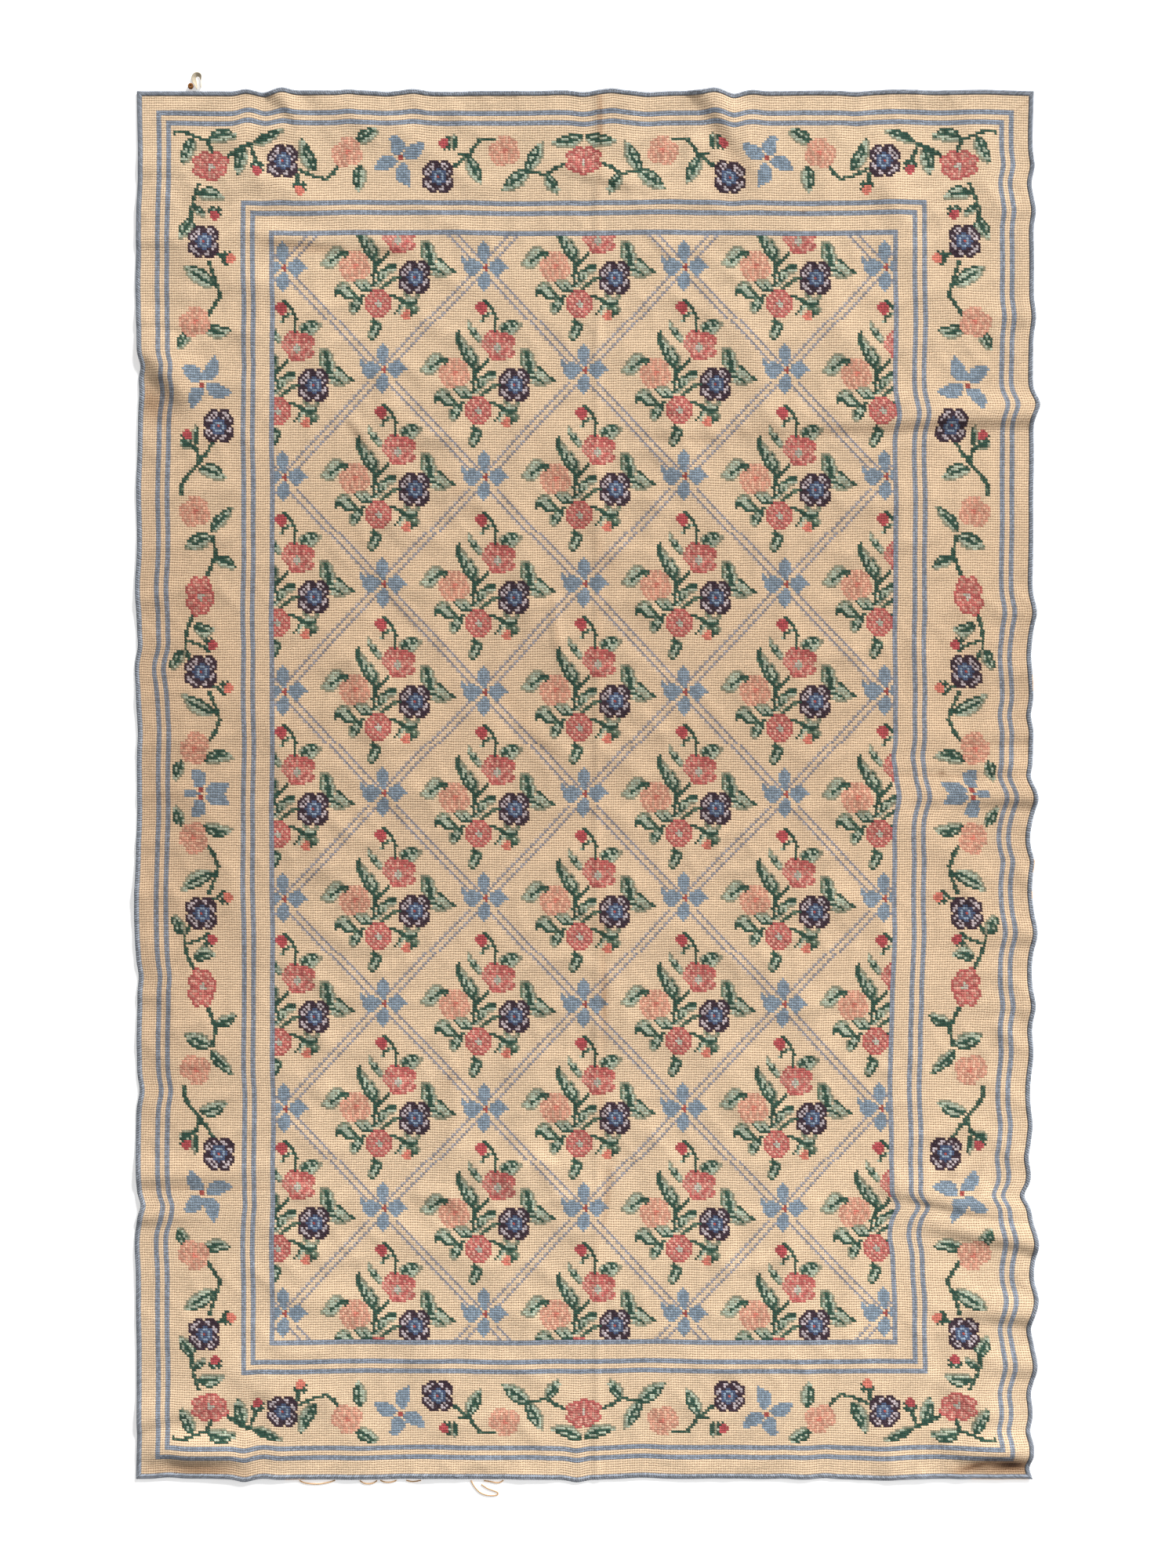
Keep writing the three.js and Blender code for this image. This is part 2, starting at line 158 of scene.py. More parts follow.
# Soft wrinkles over the whole cloth: wavelength, degrees from +X, phase, height
RIPPLES = [
    (330, 14, 0.4, 2.4), (210, -47, 2.1, 3.4), (150, 64, 4.0, 3.0), (104, -9, 5.2, 2.2),
    (83, 36, 1.0, 1.8), (61, -72, 3.1, 1.2),
]


def ripple(u, v):
    """The slight unevenness of a stitched cloth that has been folded and walked on."""
    height = np.full_like(u, 0.2)
    for wavelength, turn, phase, top in RIPPLES:
        along, across = (2 * np.pi * way / wavelength for way in turned(u, v, 0, 0, turn))
        wave = 0.5 + 0.5 * np.sin(across + phase + 1.4 * np.sin(0.37 * along + 2 * phase))
        height += top * wave ** 3 * (0.5 + 0.5 * np.sin(0.23 * along - phase)) ** 1.5
    return height


def lift(u, v):
    crease = CREASE_HEIGHT * hump(u - CREASE_X, CREASE_HALF)
    height = np.maximum(np.maximum(ridges(u, v, FOLDS), ridges(u, v, SMALL_FOLDS)), crease)
    return height + ripple(u, v) * (1 - height / 20)


def settle(u, v):
    """Places on the flat rug, moved sideways by the waves of its outline and by the pulls."""
    x = u.copy()
    y = v.copy()
    for side, waves in WAVES.items():
        out_x, out_y = OUTWARD[side]
        along = v if out_x else u
        inside = (RUG_WIDTH if out_x else RUG_LENGTH) / 2 - out_x * u - out_y * v
        for at, half, out in waves:
            shift = out * bell(along - at, half) * bell(inside, EDGE_DEPTH)
            x += out_x * shift
            y += out_y * shift
    for at_x, at_y, reach_x, reach_y, dx, dy in PULLS:
        share = bell(u - at_x, reach_x) * bell(v - at_y, reach_y)
        x += dx * share
        y += dy * share
    x += 0.9 * np.sin(v / 67 + 1.7 * np.sin(u / 210)) + 0.5 * np.sin(v / 29 + u / 95)
    y += 1.1 * np.sin(u / 83 + 1.3 * np.sin(v / 190)) + 0.5 * np.sin(u / 33 - v / 120)
    return x - BOX_CENTRE[0], y - BOX_CENTRE[1]


def on_rug(u, v, above):
    """Points in metres, a height above the cloth's underside, for places on the flat rug."""
    x, y = settle(u, v)
    return np.stack([x, y, lift(u, v) + above], axis=-1) * MM


# Yarns, by name and colour on screen, in the order of the chart's numbers
YARNS = {
    "cream": (245, 217, 182), "blue": (142, 160, 176), "lilac": (154, 154, 164),
    "dark_green": (50, 84, 70), "mid_green": (100, 122, 100), "mint": (184, 196, 174),
    "sage": (156, 156, 132), "dark_rose": (199, 102, 98), "rose": (214, 131, 120),
    "light_rose": (230, 172, 154), "peach": (228, 165, 140), "pale_peach": (238, 191, 162),
    "plum": (62, 44, 56), "lavender": (198, 186, 190), "slate": (78, 92, 124),
    "light_blue": (146, 166, 188), "centre_red": (176, 84, 78), "grey": (204, 192, 180),
    "coral": (229, 134, 116), "tan": (206, 160, 108), "edge_blue": (144, 152, 163),
    "crimson": (192, 86, 90), "stripe_blue": (147, 157, 171),
}
YARN_NUMBER = {name: number for number, name in enumerate(YARNS)}
LETTERS = {
    "B": "blue", "G": "dark_green", "e": "mid_green", "m": "mint", "S": "sage", "R": "dark_rose",
    "r": "rose", "l": "light_rose", "k": "peach", "q": "pale_peach", "P": "plum", "v": "lavender",
    "s": "slate", "b": "light_blue", "x": "centre_red", "g": "grey", "c": "coral", "C": "crimson",
}
BARE = -1

QUATREFOIL = """
..........B
.........BBB
........BBBBB
........BBBBB
........BBBBB
........BBBBB
.B.......BBB
.BB.BBB..BBB...BBB
.BBBBBBBB.BB.BBBBBB
..BBBBBBBB.x.BBBBBBB
..BBBBBBBBxxBBBBBBBBB
..BBBBBBB..x.BBBBBB
...BBBBB..BB..BBBB
....BBB..BBBB..BB
........BBBBB
........BBBBB
........BBBBB
........BBBBB
.........BBB
..........B
"""

OPEN_ROSE = """
...RR.R
..RlrRrrRRR
.RrlrRlRRRrRR
.rlRlrlrRlRRRR
rlrRRrrRRrRlRr
lrlrlrmlrrlrrR
rlrlrggmrlrlr
.rlrlggmlrRrl
..RrlrmlrRrlrR
...RlrrlRrllRr
...RrRRrlrlRr
....RrRRrR
"""

BORDER_ROSE = """
....RRR..RRR
...RrlrRRrlrR
.RRRlrlrRrlrRRR
RrlrRrlRRlrRrlrR
RlrlrRrRrRrRlrlR
.RrlrlRggrRlrlR
.RRrrrrggmrrRRR
RrlrRrRmRrrRrlR
RlrlrRrlrRlrlrR
.RRRlRrlrlRrRR
...RRRRlrlrR
......RRRRR
"""

ROUND_ROSE = """
...RRrRR
..RlrRlrR
.RrlRrlRrR
RlrRlrRrlrR
RrlrRgRlRlR
rRrRggmrrRr
RlrlRmgRrlR
RrRlrRlrRrR
.RlrRlRrlR
..RrlRlrR
...RRrRR
"""

PLUM_FLOWER = """
...PPPP.PPP
..PPvPPPvvPP
.PPvvPPPvPvPP
PPvPvPssPvPPP
PvPvssbbssPvP
PvvPsbssbsvPP
.PPssbxsbsPP
PPPPsbssbsPvP
PvPvssbbssvvP
PvvPPPssPPvPP
PPvvPPPPvPPPP
..PPvPPvvPPP
...PPP.PPPP
"""

PEACH_FLOWER = """
....kqkqk
....qkkqkkq
...kqkkqkqkk
.kkqkkqkkqkq
kkqkqkkqkkqk
kqkkqkcckqkkq
qkkqkkckkqkkk
kkqkkqkkqkkqk
.kqkkqkkqkkqk
.kkqkqkkqkqk
..kqkkqkqkk
...kqkk
"""

BUD = """
.GG.G
GGmGGG
GCCCG
.CCCCG
.CCCC
..CC
"""

# The sprig's leaves and stems on its own canvas: the left column and top row of each, and its stitches
SPRIG_LEAVES = [
    ("bud", 25, 13, """
...GG
.CCCGG
CCCCCGG
CCCCC.GG
.CCCC..G
..CC.GmGG
...GGe..G
...G....GG
..mG....G
........G
........G
........G
........GG
"""),
    ("top_leaf", 35, 21, """
...SGGGS
.SGmmGmGSS
SmGGmGGmSS
SGGGmmmmS
.GSmGmmS
...SSmS
"""),
    ("small_leaf", 22, 21, """
S
mS
mS
emmS
.GmG
.eGGm
..emmS
...emm
....eS
"""),
    ("tall_leaf", 17, 25, """
.G
GG
GGS
GGSS
GGmSS
eGGmS
.GGmmSS
.eGmGSGS
..GmGmmS
..GGGmmGS
...GmGmmGS....G
...GeGemGS...G
....GGmGGS..GG
.....GGGeS.GG
......GGSGGG
.......GGGG
.......GGG
.......GG
.......GG
.......GGG
......GG
.......G
.......G
.......G
......GG
"""),
    ("stem_leaf", 25, 41, """
.....eGGG
....GGGGG
..eGGmmmm
.GmmmSSS
.GmemS
mGmGm
.GGS
GmS
mS
"""),
    ("plum_stem", 27, 46, """
.....eeGG
....Gee
..eGG
.eGe
eG
.G
"""),
    ("leaf_over_plum", 44, 32, """
SSSS
SeGeS
eSGGmS
emGGmS
eSmGmS
emeGGmS
emGGGmS
.SmGGmS
..SGGm
...GGGG
"""),
    ("leaf_beside_plum", 48, 39, """
...GG
...mGG
..mmmmG
mmSmmmmG
GGGmSmSmGG
.mmGGSmmSGG
SmSmSGSSS
..SSSSS
"""),
    ("leaf_beside_peach", 2, 34, """
.....SSSS
....SmmmSS
...SmmSmGGGG
..SSmmmGGGeG
..SmmmGGm.GG
.SmSGGmm
SmmmGmmS
SSmmmmS
..SSSS
"""),
    ("low_leaf", 16, 47, """
.SSSSS
GmmSmmS
.GmmGmm
..GmmGmm
...GGGGG
"""),
    ("far_leaf", 8, 48, """
..SeSS
.eSmmSS
SmmmmGG
GGGmmmee
GGGGmmmGG
G..GGmmmGe
....GGGG
"""),
    ("under_leaf", 14, 53, """
.....GG
..eGGG
..emGG
SGmmmG
SGGmG
SemGG
SmmG
.SS
"""),
    ("bud_leaves", 31, 52, """
......SS
GGG...SeS..Se
..eGGe.SmSSSS
....GGGmmmmG
.....GGGGGGG
....GmmeGGeS
....Gm.eeemeS
...Gm..ckGeeS
..G.m.cccGGG
.....ccckG
......ccc
"""),
    ("foot_leaf", 22, 62, """
..G
.eGGS
..GGGe
.eGmmG
.GGmGG
SGmmG
SmmGG
eSmG
.GG
"""),
]
SPRIG_FLOWERS = [(OPEN_ROSE, 28, 25), (PEACH_FLOWER, 10, 36), (PLUM_FLOWER, 35, 40), (ROUND_ROSE, 21, 51)]
SPRIG_SIZE = (62, 74)
SPRIG_MIDDLE = 28


def chart_of(columns, rows):
    return np.full((rows, columns), BARE, dtype=np.int32)


def drawn(text):
    lines = text.strip().splitlines()
    art = chart_of(max(len(line) for line in lines), len(lines))
    for j, line in enumerate(lines):
        for i, letter in enumerate(line):
            if letter in LETTERS:
                art[j, i] = YARN_NUMBER[LETTERS[letter]]
    return art


def stamp(chart, art, column, row):
    """Lay small art on a chart with its middle at a stitch, cut off at the chart's sides."""
    top = int(round(row - art.shape[0] / 2))
    left = int(round(column - art.shape[1] / 2))
    paste(chart, art, left, top)


def paste(chart, art, left, top):
    j0, j1 = max(top, 0), min(top + art.shape[0], chart.shape[0])
    i0, i1 = max(left, 0), min(left + art.shape[1], chart.shape[1])
    if j0 >= j1 or i0 >= i1:
        return
    piece = art[j0 - top:j1 - top, i0 - left:i1 - left]
    place = chart[j0:j1, i0:i1]
    place[piece != BARE] = piece[piece != BARE]


def blade(chart, base, tip, width, bend=0.0, yarn=None):
    """A pointed petal, or a leaf with a dark vein and rim, a light inside and a sage far side."""
    rows, columns = np.mgrid[0:chart.shape[0], 0:chart.shape[1]]
    x = columns + 0.5 - base[0]
    y = rows + 0.5 - base[1]
    way = np.array(tip, float) - np.array(base, float)
    length = np.hypot(*way)
    along = (x * way[0] + y * way[1]) / length ** 2
    clipped = np.clip(along, 0, 1)
    across = (x * way[1] - y * way[0]) / length - bend * 4 * clipped * (1 - clipped)
    half = 0.5 * width * np.sin(np.pi * clipped ** 0.8) ** 0.75 + 0.35
    inside = (along >= -0.02) & (along <= 1.02) & (np.abs(across) <= half)
    if yarn is not None:
        chart[inside] = YARN_NUMBER[yarn]
        return
    upper = across if way[0] > 0 else -across
    tooth = (2 * columns + 3 * rows) % 7
    chart[inside] = YARN_NUMBER["mint"]
    chart[inside & (tooth == 0)] = YARN_NUMBER["mid_green"]
    chart[inside & ((tooth == 3) | (tooth == 5)) & (upper > -0.4)] = YARN_NUMBER["dark_green"]
    chart[inside & (upper < 0.9 - half)] = YARN_NUMBER["sage"]
    chart[inside & (upper > half - 1.0) & (along < 0.8)] = YARN_NUMBER["dark_green"]
    chart[inside & (np.abs(across) < 0.6) & (along < 0.7)] = YARN_NUMBER["dark_green"]


def stem(chart, points):
    """A line of stitches through points, darker with a few lighter stitches."""
    for (x0, y0), (x1, y1) in zip(points, points[1:]):
        steps = int(3 * max(abs(x1 - x0), abs(y1 - y0))) + 1
        for step in range(steps + 1):
            x = x0 + (x1 - x0) * step / steps
            y = y0 + (y1 - y0) * step / steps
            for i in {int(x), int(x + 0.5)}:
                if 0 <= int(y) < chart.shape[0] and 0 <= i < chart.shape[1]:
                    light = (int(y) * 5 + i * 3) % 7 == 0
                    chart[int(y), i] = YARN_NUMBER["mid_green" if light else "dark_green"]


def bud(chart, column, row, turns=0, yarn="crimson"):
    """A small bud, held from above by its sepals, or from another side after some quarter turns."""
    art = drawn(BUD)
    art[art == YARN_NUMBER["crimson"]] = YARN_NUMBER[yarn]
    stamp(chart, np.rot90(art, turns), column, row)


def pinwheel(chart, column, row, petals):
    """A blue flower of four petals, each given by its tip, round a small red centre."""
    for tip_x, tip_y in petals:
        start = (column + 0.14 * tip_x, row + 0.14 * tip_y)
        blade(chart, start, (column + tip_x, row + tip_y), 5.4, -1, "blue")
    stamp(chart, np.full((2, 2), YARN_NUMBER["centre_red"]), column, row)


FOUR_PETALS = drawn(QUATREFOIL)
ROSE = drawn(BORDER_ROSE)
PLUM = drawn(PLUM_FLOWER)
PEACH = drawn(PEACH_FLOWER)


def sprig_art():
    art = chart_of(*SPRIG_SIZE)
    for name, left, top, stitches in SPRIG_LEAVES:
        paste(art, drawn(stitches), left, top)
    for flower, left, top in SPRIG_FLOWERS:
        paste(art, drawn(flower), left, top)
    return art


def border_art():
    """A quarter of the flowered border: the left half of its top and the upper half of its side."""
    art = chart_of(COLUMNS // 2 + 1, MIDDLE_ROW + 1)
    # Along the top, from the corner to the middle
    stem(art, [(13, 15), (16, 14), (21.5, 16), (27, 18), (29.5, 22)])
    blade(art, (21.5, 17), (17, 28), 5)
    blade(art, (28, 17.3), (40.5, 17), 5.5, 1.5)
    stem(art, [(36, 24), (41, 21), (48, 19)])
    blade(art, (43.5, 21.5), (41, 32), 6, -0.5)
    stem(art, [(46, 20), (47, 24), (48.5, 26)])
    bud(art, 48.5, 29)
    blade(art, (47, 19), (60, 14.5), 3.8)
    bud(art, 66.5, 36.5, 0, "coral")
    stem(art, [(65.5, 31), (66, 35)])
    blade(art, (73.5, 30), (67, 17), 5.4, 1.0)
    stem(art, [(65.5, 29.5), (72.5, 32), (78, 33.5), (83, 28.5)])
    blade(art, (90.5, 18.5), (100, 14), 5)
    blade(art, (92, 28), (91.5, 39), 5.5)
    pinwheel(art, 109, 25.5, [(9.5, -6), (3.5, 11), (-4, -9.5), (-10.5, 4)])
    bud(art, 128, 19, 3)
    blade(art, (131.5, 22), (131.5, 15), 2.4)
    stem(art, [(131, 28.5), (137, 24), (142, 17.5), (147.5, 17.5)])
    stem(art, [(133, 23), (136, 24)])
    blade(art, (137, 24.5), (142.5, 35.5), 5.5)
    blade(art, (162.5, 30), (168.5, 18.5), 5.4)
    blade(art, (162.5, 30), (151.5, 38), 6)
    stem(art, [(162.5, 30), (170, 31.5), (174.5, 28.5), (179.5, 27)])
    blade(art, (170, 32), (175, 39.5), 5)
    blade(art, (185, 16), (172, 19), 5, 1)
    # Down the side, from the corner to the middle
    stem(art, [(24, 35), (21.5, 41), (20.5, 48), (22, 53.5)])
    blade(art, (23.5, 39.5), (35, 41), 5, 1)
    blade(art, (21.5, 44), (27, 48.5), 3)
    bud(art, 30.5, 46.5)
    blade(art, (21.5, 49.5), (16, 58), 5)
    bud(art, 36.5, 65, 1, "coral")
    stem(art, [(31, 63), (35, 65)])
    blade(art, (30.5, 76), (18, 68), 6)
    stem(art, [(28.5, 66), (31, 73.5), (33, 80), (28, 87)])
    blade(art, (20, 94), (15.5, 101), 4.6)
    blade(art, (27, 93), (38, 93.5), 5, -1)
    pinwheel(art, 25.4, 114.5, [(5, -11), (-9, -6.5), (12, 3), (-4.5, 9.5)])
    stem(art, [(30, 137), (26.5, 142), (23, 146)])
    stem(art, [(22, 137.5), (23.5, 142), (23, 146), (18.5, 151), (16.5, 154.5), (17, 157.5)])
    blade(art, (24.5, 147.5), (35.5, 151), 5.5, 0.8)
    bud(art, 19, 134.5, 2)
    blade(art, (23, 138), (22.5, 130.5), 2.6)
    blade(art, (22, 139), (15.5, 138), 2.4)
    blade(art, (29, 171.5), (38.5, 162), 4.4)
    blade(art, (29, 173.5), (18, 178.5), 6)
    stem(art, [(29.5, 173.5), (31, 180), (29, 185), (27, 190.5)])
    blade(art, (31, 182.5), (39.5, 186), 4.6, 0.6)
    stem(art, [(22, 204), (19.5, 208.5), (18, 215), (18.5, 218), (21.5, 223)])
    blade(art, (22, 208.5), (31.5, 210), 5.4, -1.4)
    stem(art, [(19, 214), (25.5, 216.5)])
    bud(art, 28.5, 216, 1)
    blade(art, (18, 218), (14.2, 226), 4.6)
    stem(art, [(29, 231.5), (33, 233.5)])
    bud(art, 36, 233, 1, "coral")
    stem(art, [(28.5, 234.5), (31, 240), (32.5, 245), (30.5, 250), (28, 253)])
    blade(art, (30.5, 243), (17.5, 235.5), 6, 1)
    blade(art, (26.5, 261.5), (38.5, 260.5), 5, 1.2)
    blade(art, (17, 261.5), (14, 269.5), 4.6)
    pinwheel(art, 25.4, 273.5, [(-3.5, -8.5), (11.5, -2.5), (2.5, 10), (-8.5, 6)])
    # Flowers, over their stems
    for flower, column, row in (
        (ROSE, 29, 28.5), (PLUM, 59.7, 27), (PEACH, 86, 22.8), (PLUM, 124.4, 32), (PEACH, 153, 22.2),
        (ROSE, 185.5, 26), (PLUM, 27, 59), (PEACH, 22.8, 89.5), (PLUM.T, 32.7, 131), (PEACH, 22.1, 163.5),
        (ROSE.T, 25.1, 197), (PLUM, 25.5, 227), (PEACH.T, 22.1, 256),
    ):
        stamp(art, flower, column, row)
    return art


# Blue bands of stitches counted from the cloth's edge: first and past the last
BANDS = [(6, 8), (10, 12), (42, 44), (46, 48), (54, 56)]
BORDER_DEPTH = 42

LATTICE_COLUMN = 59
LATTICE_ROW = 68
LATTICE_HALF = (42, 41.5)
LINE_OFFSETS = (-2, 2)
LINE_STOP = 5
FLOWER_MIDDLE = 10


def lattice_places():
    """Column and row of each lattice flower, some of them outside the field."""
    places = []
    for k in range(-1, 12):
        row = int(LATTICE_ROW + LATTICE_HALF[1] * k)
        for i in range(-1, 9):
            if (i + k) % 2 == 0:
                places.append((LATTICE_COLUMN + LATTICE_HALF[0] * i, row))
    return places


def lattice_line(field, start, end):
    """Two thin parallel diagonals between two flowers, with a paler stitch beside every second one."""
    steps = abs(end[1] - start[1])
    for step in range(LINE_STOP - 1, steps - LINE_STOP + 2):
        row = start[1] + int(math.copysign(step, end[1] - start[1]))
        column = start[0] + (end[0] - start[0]) * step / steps
        for offset in LINE_OFFSETS:
            i = int(round(column)) + offset
            if 0 <= row < field.shape[0] and 0 <= i < field.shape[1]:
                field[row, i] = YARN_NUMBER["lilac"]
                if row % 2 == 0 and i > 0:
                    field[row, i - 1] = YARN_NUMBER["grey"]


def stitches_in():
    """How many stitches each stitch lies in from the cloth's nearest edge."""
    rows, columns = np.mgrid[0:ROWS, 0:COLUMNS]
    return np.minimum(np.minimum(columns, COLUMNS - 1 - columns), np.minimum(rows, ROWS - 1 - rows))


def rug_chart():
    """Yarn numbers of all the cloth's stitches, the top row first."""
    chart = chart_of(COLUMNS, ROWS)
    places = lattice_places()
    for column, row in places:
        for end in places:
            if abs(end[0] - column) == LATTICE_HALF[0] and 0 < end[1] - row < LATTICE_HALF[1] + 1:
                lattice_line(chart, (column, row), end)
    sprig = sprig_art()
    for column, row in places:
        paste(chart, sprig, column - SPRIG_MIDDLE, row)
    for column, row in places:
        paste(chart, FOUR_PETALS, column - FLOWER_MIDDLE, row - FLOWER_MIDDLE - row % 2)
    depth = stitches_in()
    chart[depth < BAND - 1] = BARE
    quarter = border_art()
    quarter[(quarter != BARE) & (depth[:quarter.shape[0], :quarter.shape[1]] >= BORDER_DEPTH)] = BARE
    low, right = ROWS - quarter.shape[0], COLUMNS - quarter.shape[1]
    paste(chart, quarter, 0, 0)
    paste(chart, quarter[:, ::-1], right, 0)
    paste(chart, quarter[::-1], 0, low)
    paste(chart, quarter[::-1, ::-1], right, low)
    for first, last in BANDS:
        chart[(depth >= first) & (depth < last)] = YARN_NUMBER["stripe_blue"]
    chart[chart == BARE] = YARN_NUMBER["cream"]
    return chart


# Stains and painted shade on the face: spots and thin dark lines, painted shade along the storage crease
# and beside the folds and wrinkles, a broad darkening over the middle and down the long sides, painted
# shadow under the curled bottom corners and painted shade in the hollow at the left. Columns: middle x
# and y, reach along and across, degrees from +X, and darkness
STAINS_AND_PAINTED_SHADE = [
    (438, 1161, 8, 5, 0, 0.5), (720, 26, 7, 4, 0, 0.45), (723, 21, 165, 3, 0, 0.22),
    (840, 89, 60, 3, 0, 0.2), (-764, -811, 130, 6, 0, 0.3), (-785, -22, 120, 3, 0, 0.16),
    (889, 1382, 26, 2.5, 39, 0.3), (-889, -1384, 26, 2.5, 39, 0.2),
    # Painted shade along the storage crease, partly soil, then painted shade beside the wrinkles and
    # folds of the field
    (CREASE_X + 2, 1345, 90, 7, 90, 0.6), (CREASE_X + 1, 1130, 160, 5, 90, 0.12),
    (CREASE_X + 3, 300, 260, 6, 90, 0.14), (CREASE_X + 6, -290, 70, 8, 90, 0.34),
    (CREASE_X + 11, -433, 75, 9, 90, 0.5), (CREASE_X + 6, -660, 110, 8, 90, 0.34),
    (CREASE_X + 16, -836, 80, 8, 82, 0.36), (-20, 560, 190, 14, -60, 0.12),
    (-300, 640, 150, 12, -48, 0.14), (-420, 470, 120, 12, -40, 0.12), (-120, 130, 130, 14, -52, 0.12),
    (-250, -560, 140, 12, 50, 0.1), (-565, 1090, 90, 10, -5, 0.36), (-400, 1077, 50, 8, -6, 0.32),
    (-58, 305, 80, 5, -82, 0.2), (-460, 707, 50, 6, -52, 0.16), (560, 722, 330, 10, 2, 0.2),
    (200, 699, 90, 6, -2, 0.14), (285, 1292, 95, 16, -54, 0.16), (-290, -850, 60, 9, -7, 0.16),
    # A broad darkening over the middle and down the long sides, then painted shadow under the curled
    # bottom corners and painted shade in the hollow at the left
    (0, 150, 4000, 780, 0, 0.24), (-930, -150, 900, 210, 90, 0.2), (930, 250, 500, 120, 90, 0.06),
    (-777, -1384, 90, 17, 0, 0.62), (842, -1382, 80, 15, -2, 0.55), (790, -1375, 50, 10, 18, 0.7),
    (866, -1371, 48, 13, -4, 0.9), (-885, 775, 60, 26, -48, 0.5),
]


def stain_and_shade(u, v):
    """How dark the face is at places on the flat rug, from its stains and its painted shade, 0 for clean.
    """
    clean = np.ones_like(u)
    for x, y, reach, half, turn, depth in STAINS_AND_PAINTED_SHADE:
        along, across = turned(u, v, x, y, turn)
        clean *= 1 - depth * bell(along, reach) * bell(across, half)
    return 1 - clean


def slants():
    """Which way each stitch leans: the second row of every blue band leans the other way."""
    depth = stitches_in()
    lean = np.ones((ROWS, COLUMNS), dtype=np.float32)
    for first, last in BANDS:
        lean[depth == last - 1] = -1
    return lean


# Materials
class Nodes:
    """A short way to write a material's nodes."""

    def __init__(self, name):
        self.material = bpy.data.materials.new(name)
        self.material.use_nodes = True
        self.tree = self.material.node_tree
        self.shader = self.tree.nodes["Principled BSDF"]

    def new(self, kind, **settings):
        node = self.tree.nodes.new("ShaderNode" + kind)
        for key, value in settings.items():
            setattr(node, key, value)
        return node

    def put(self, value, socket):
        if isinstance(value, bpy.types.NodeSocket):
            self.tree.links.new(value, socket)
        else:
            socket.default_value = value

    def fill(self, node, *values, **named):
        """Put values in a node's first sockets and its named ones, and give its first output."""
        for value, socket in zip(values, node.inputs):
            self.put(value, socket)
        for name, value in named.items():
            self.put(value, node.inputs[name])
        return node.outputs[0]

    def math(self, operation, *values, clamp=False):
        return self.fill(self.new("Math", operation=operation, use_clamp=clamp), *values)

    def add(self, first, second):
        return self.math("ADD", first, second)

    def less(self, first, second):
        return self.math("SUBTRACT", first, second)

    def times(self, first, second, clamp=False):
        return self.math("MULTIPLY", first, second, clamp=clamp)

    def attribute(self, name):
        return self.new("Attribute", attribute_name=name).outputs["Fac"]

    def between(self, value, low, high, to_low, to_high):
        node = self.new("MapRange", interpolation_type="SMOOTHSTEP")
        return self.fill(node, value, low, high, to_low, to_high)

    def mix(self, share, first, second, blend="MIX"):
        node = self.new("Mix", data_type="RGBA", blend_type=blend)
        for value, place in ((share, 0), (first, 6), (second, 7)):
            self.put(value, node.inputs[place])
        return node.outputs[2]

    def tinted(self, colour, bright):
        lit = self.fill(self.new("CombineXYZ"), bright, bright, bright)
        return self.mix(1.0, colour, lit, "MULTIPLY")

    def noise(self, vector, scale, detail=2.0, roughness=0.5):
        node = self.new("TexNoise")
        return self.fill(node, Vector=vector, Scale=scale, Detail=detail, Roughness=roughness)

    def bump(self, height, distance, strength):
        return self.fill(self.new("Bump"), Height=height, Distance=distance, Strength=strength)

    def finish(self, colour, normal, roughness, specular):
        self.fill(self.shader, colour, Normal=normal, Roughness=roughness)
        self.put(specular, self.shader.inputs["Specular IOR Level"])
        return self.material


def linear(colour):
    """A screen colour of 0 to 255 as linear light."""
    parts = [part / 255 for part in colour]
    return tuple(p / 12.92 if p <= 0.04045 else ((p + 0.055) / 1.055) ** 2.4 for p in parts) + (1.0,)


# How light the wool is under this scene's light, before each stitch's own shade
WOOL_BRIGHTNESS = 0.74

# How far a strand leans sideways over its cell
STRAND_SLANT = 0.55


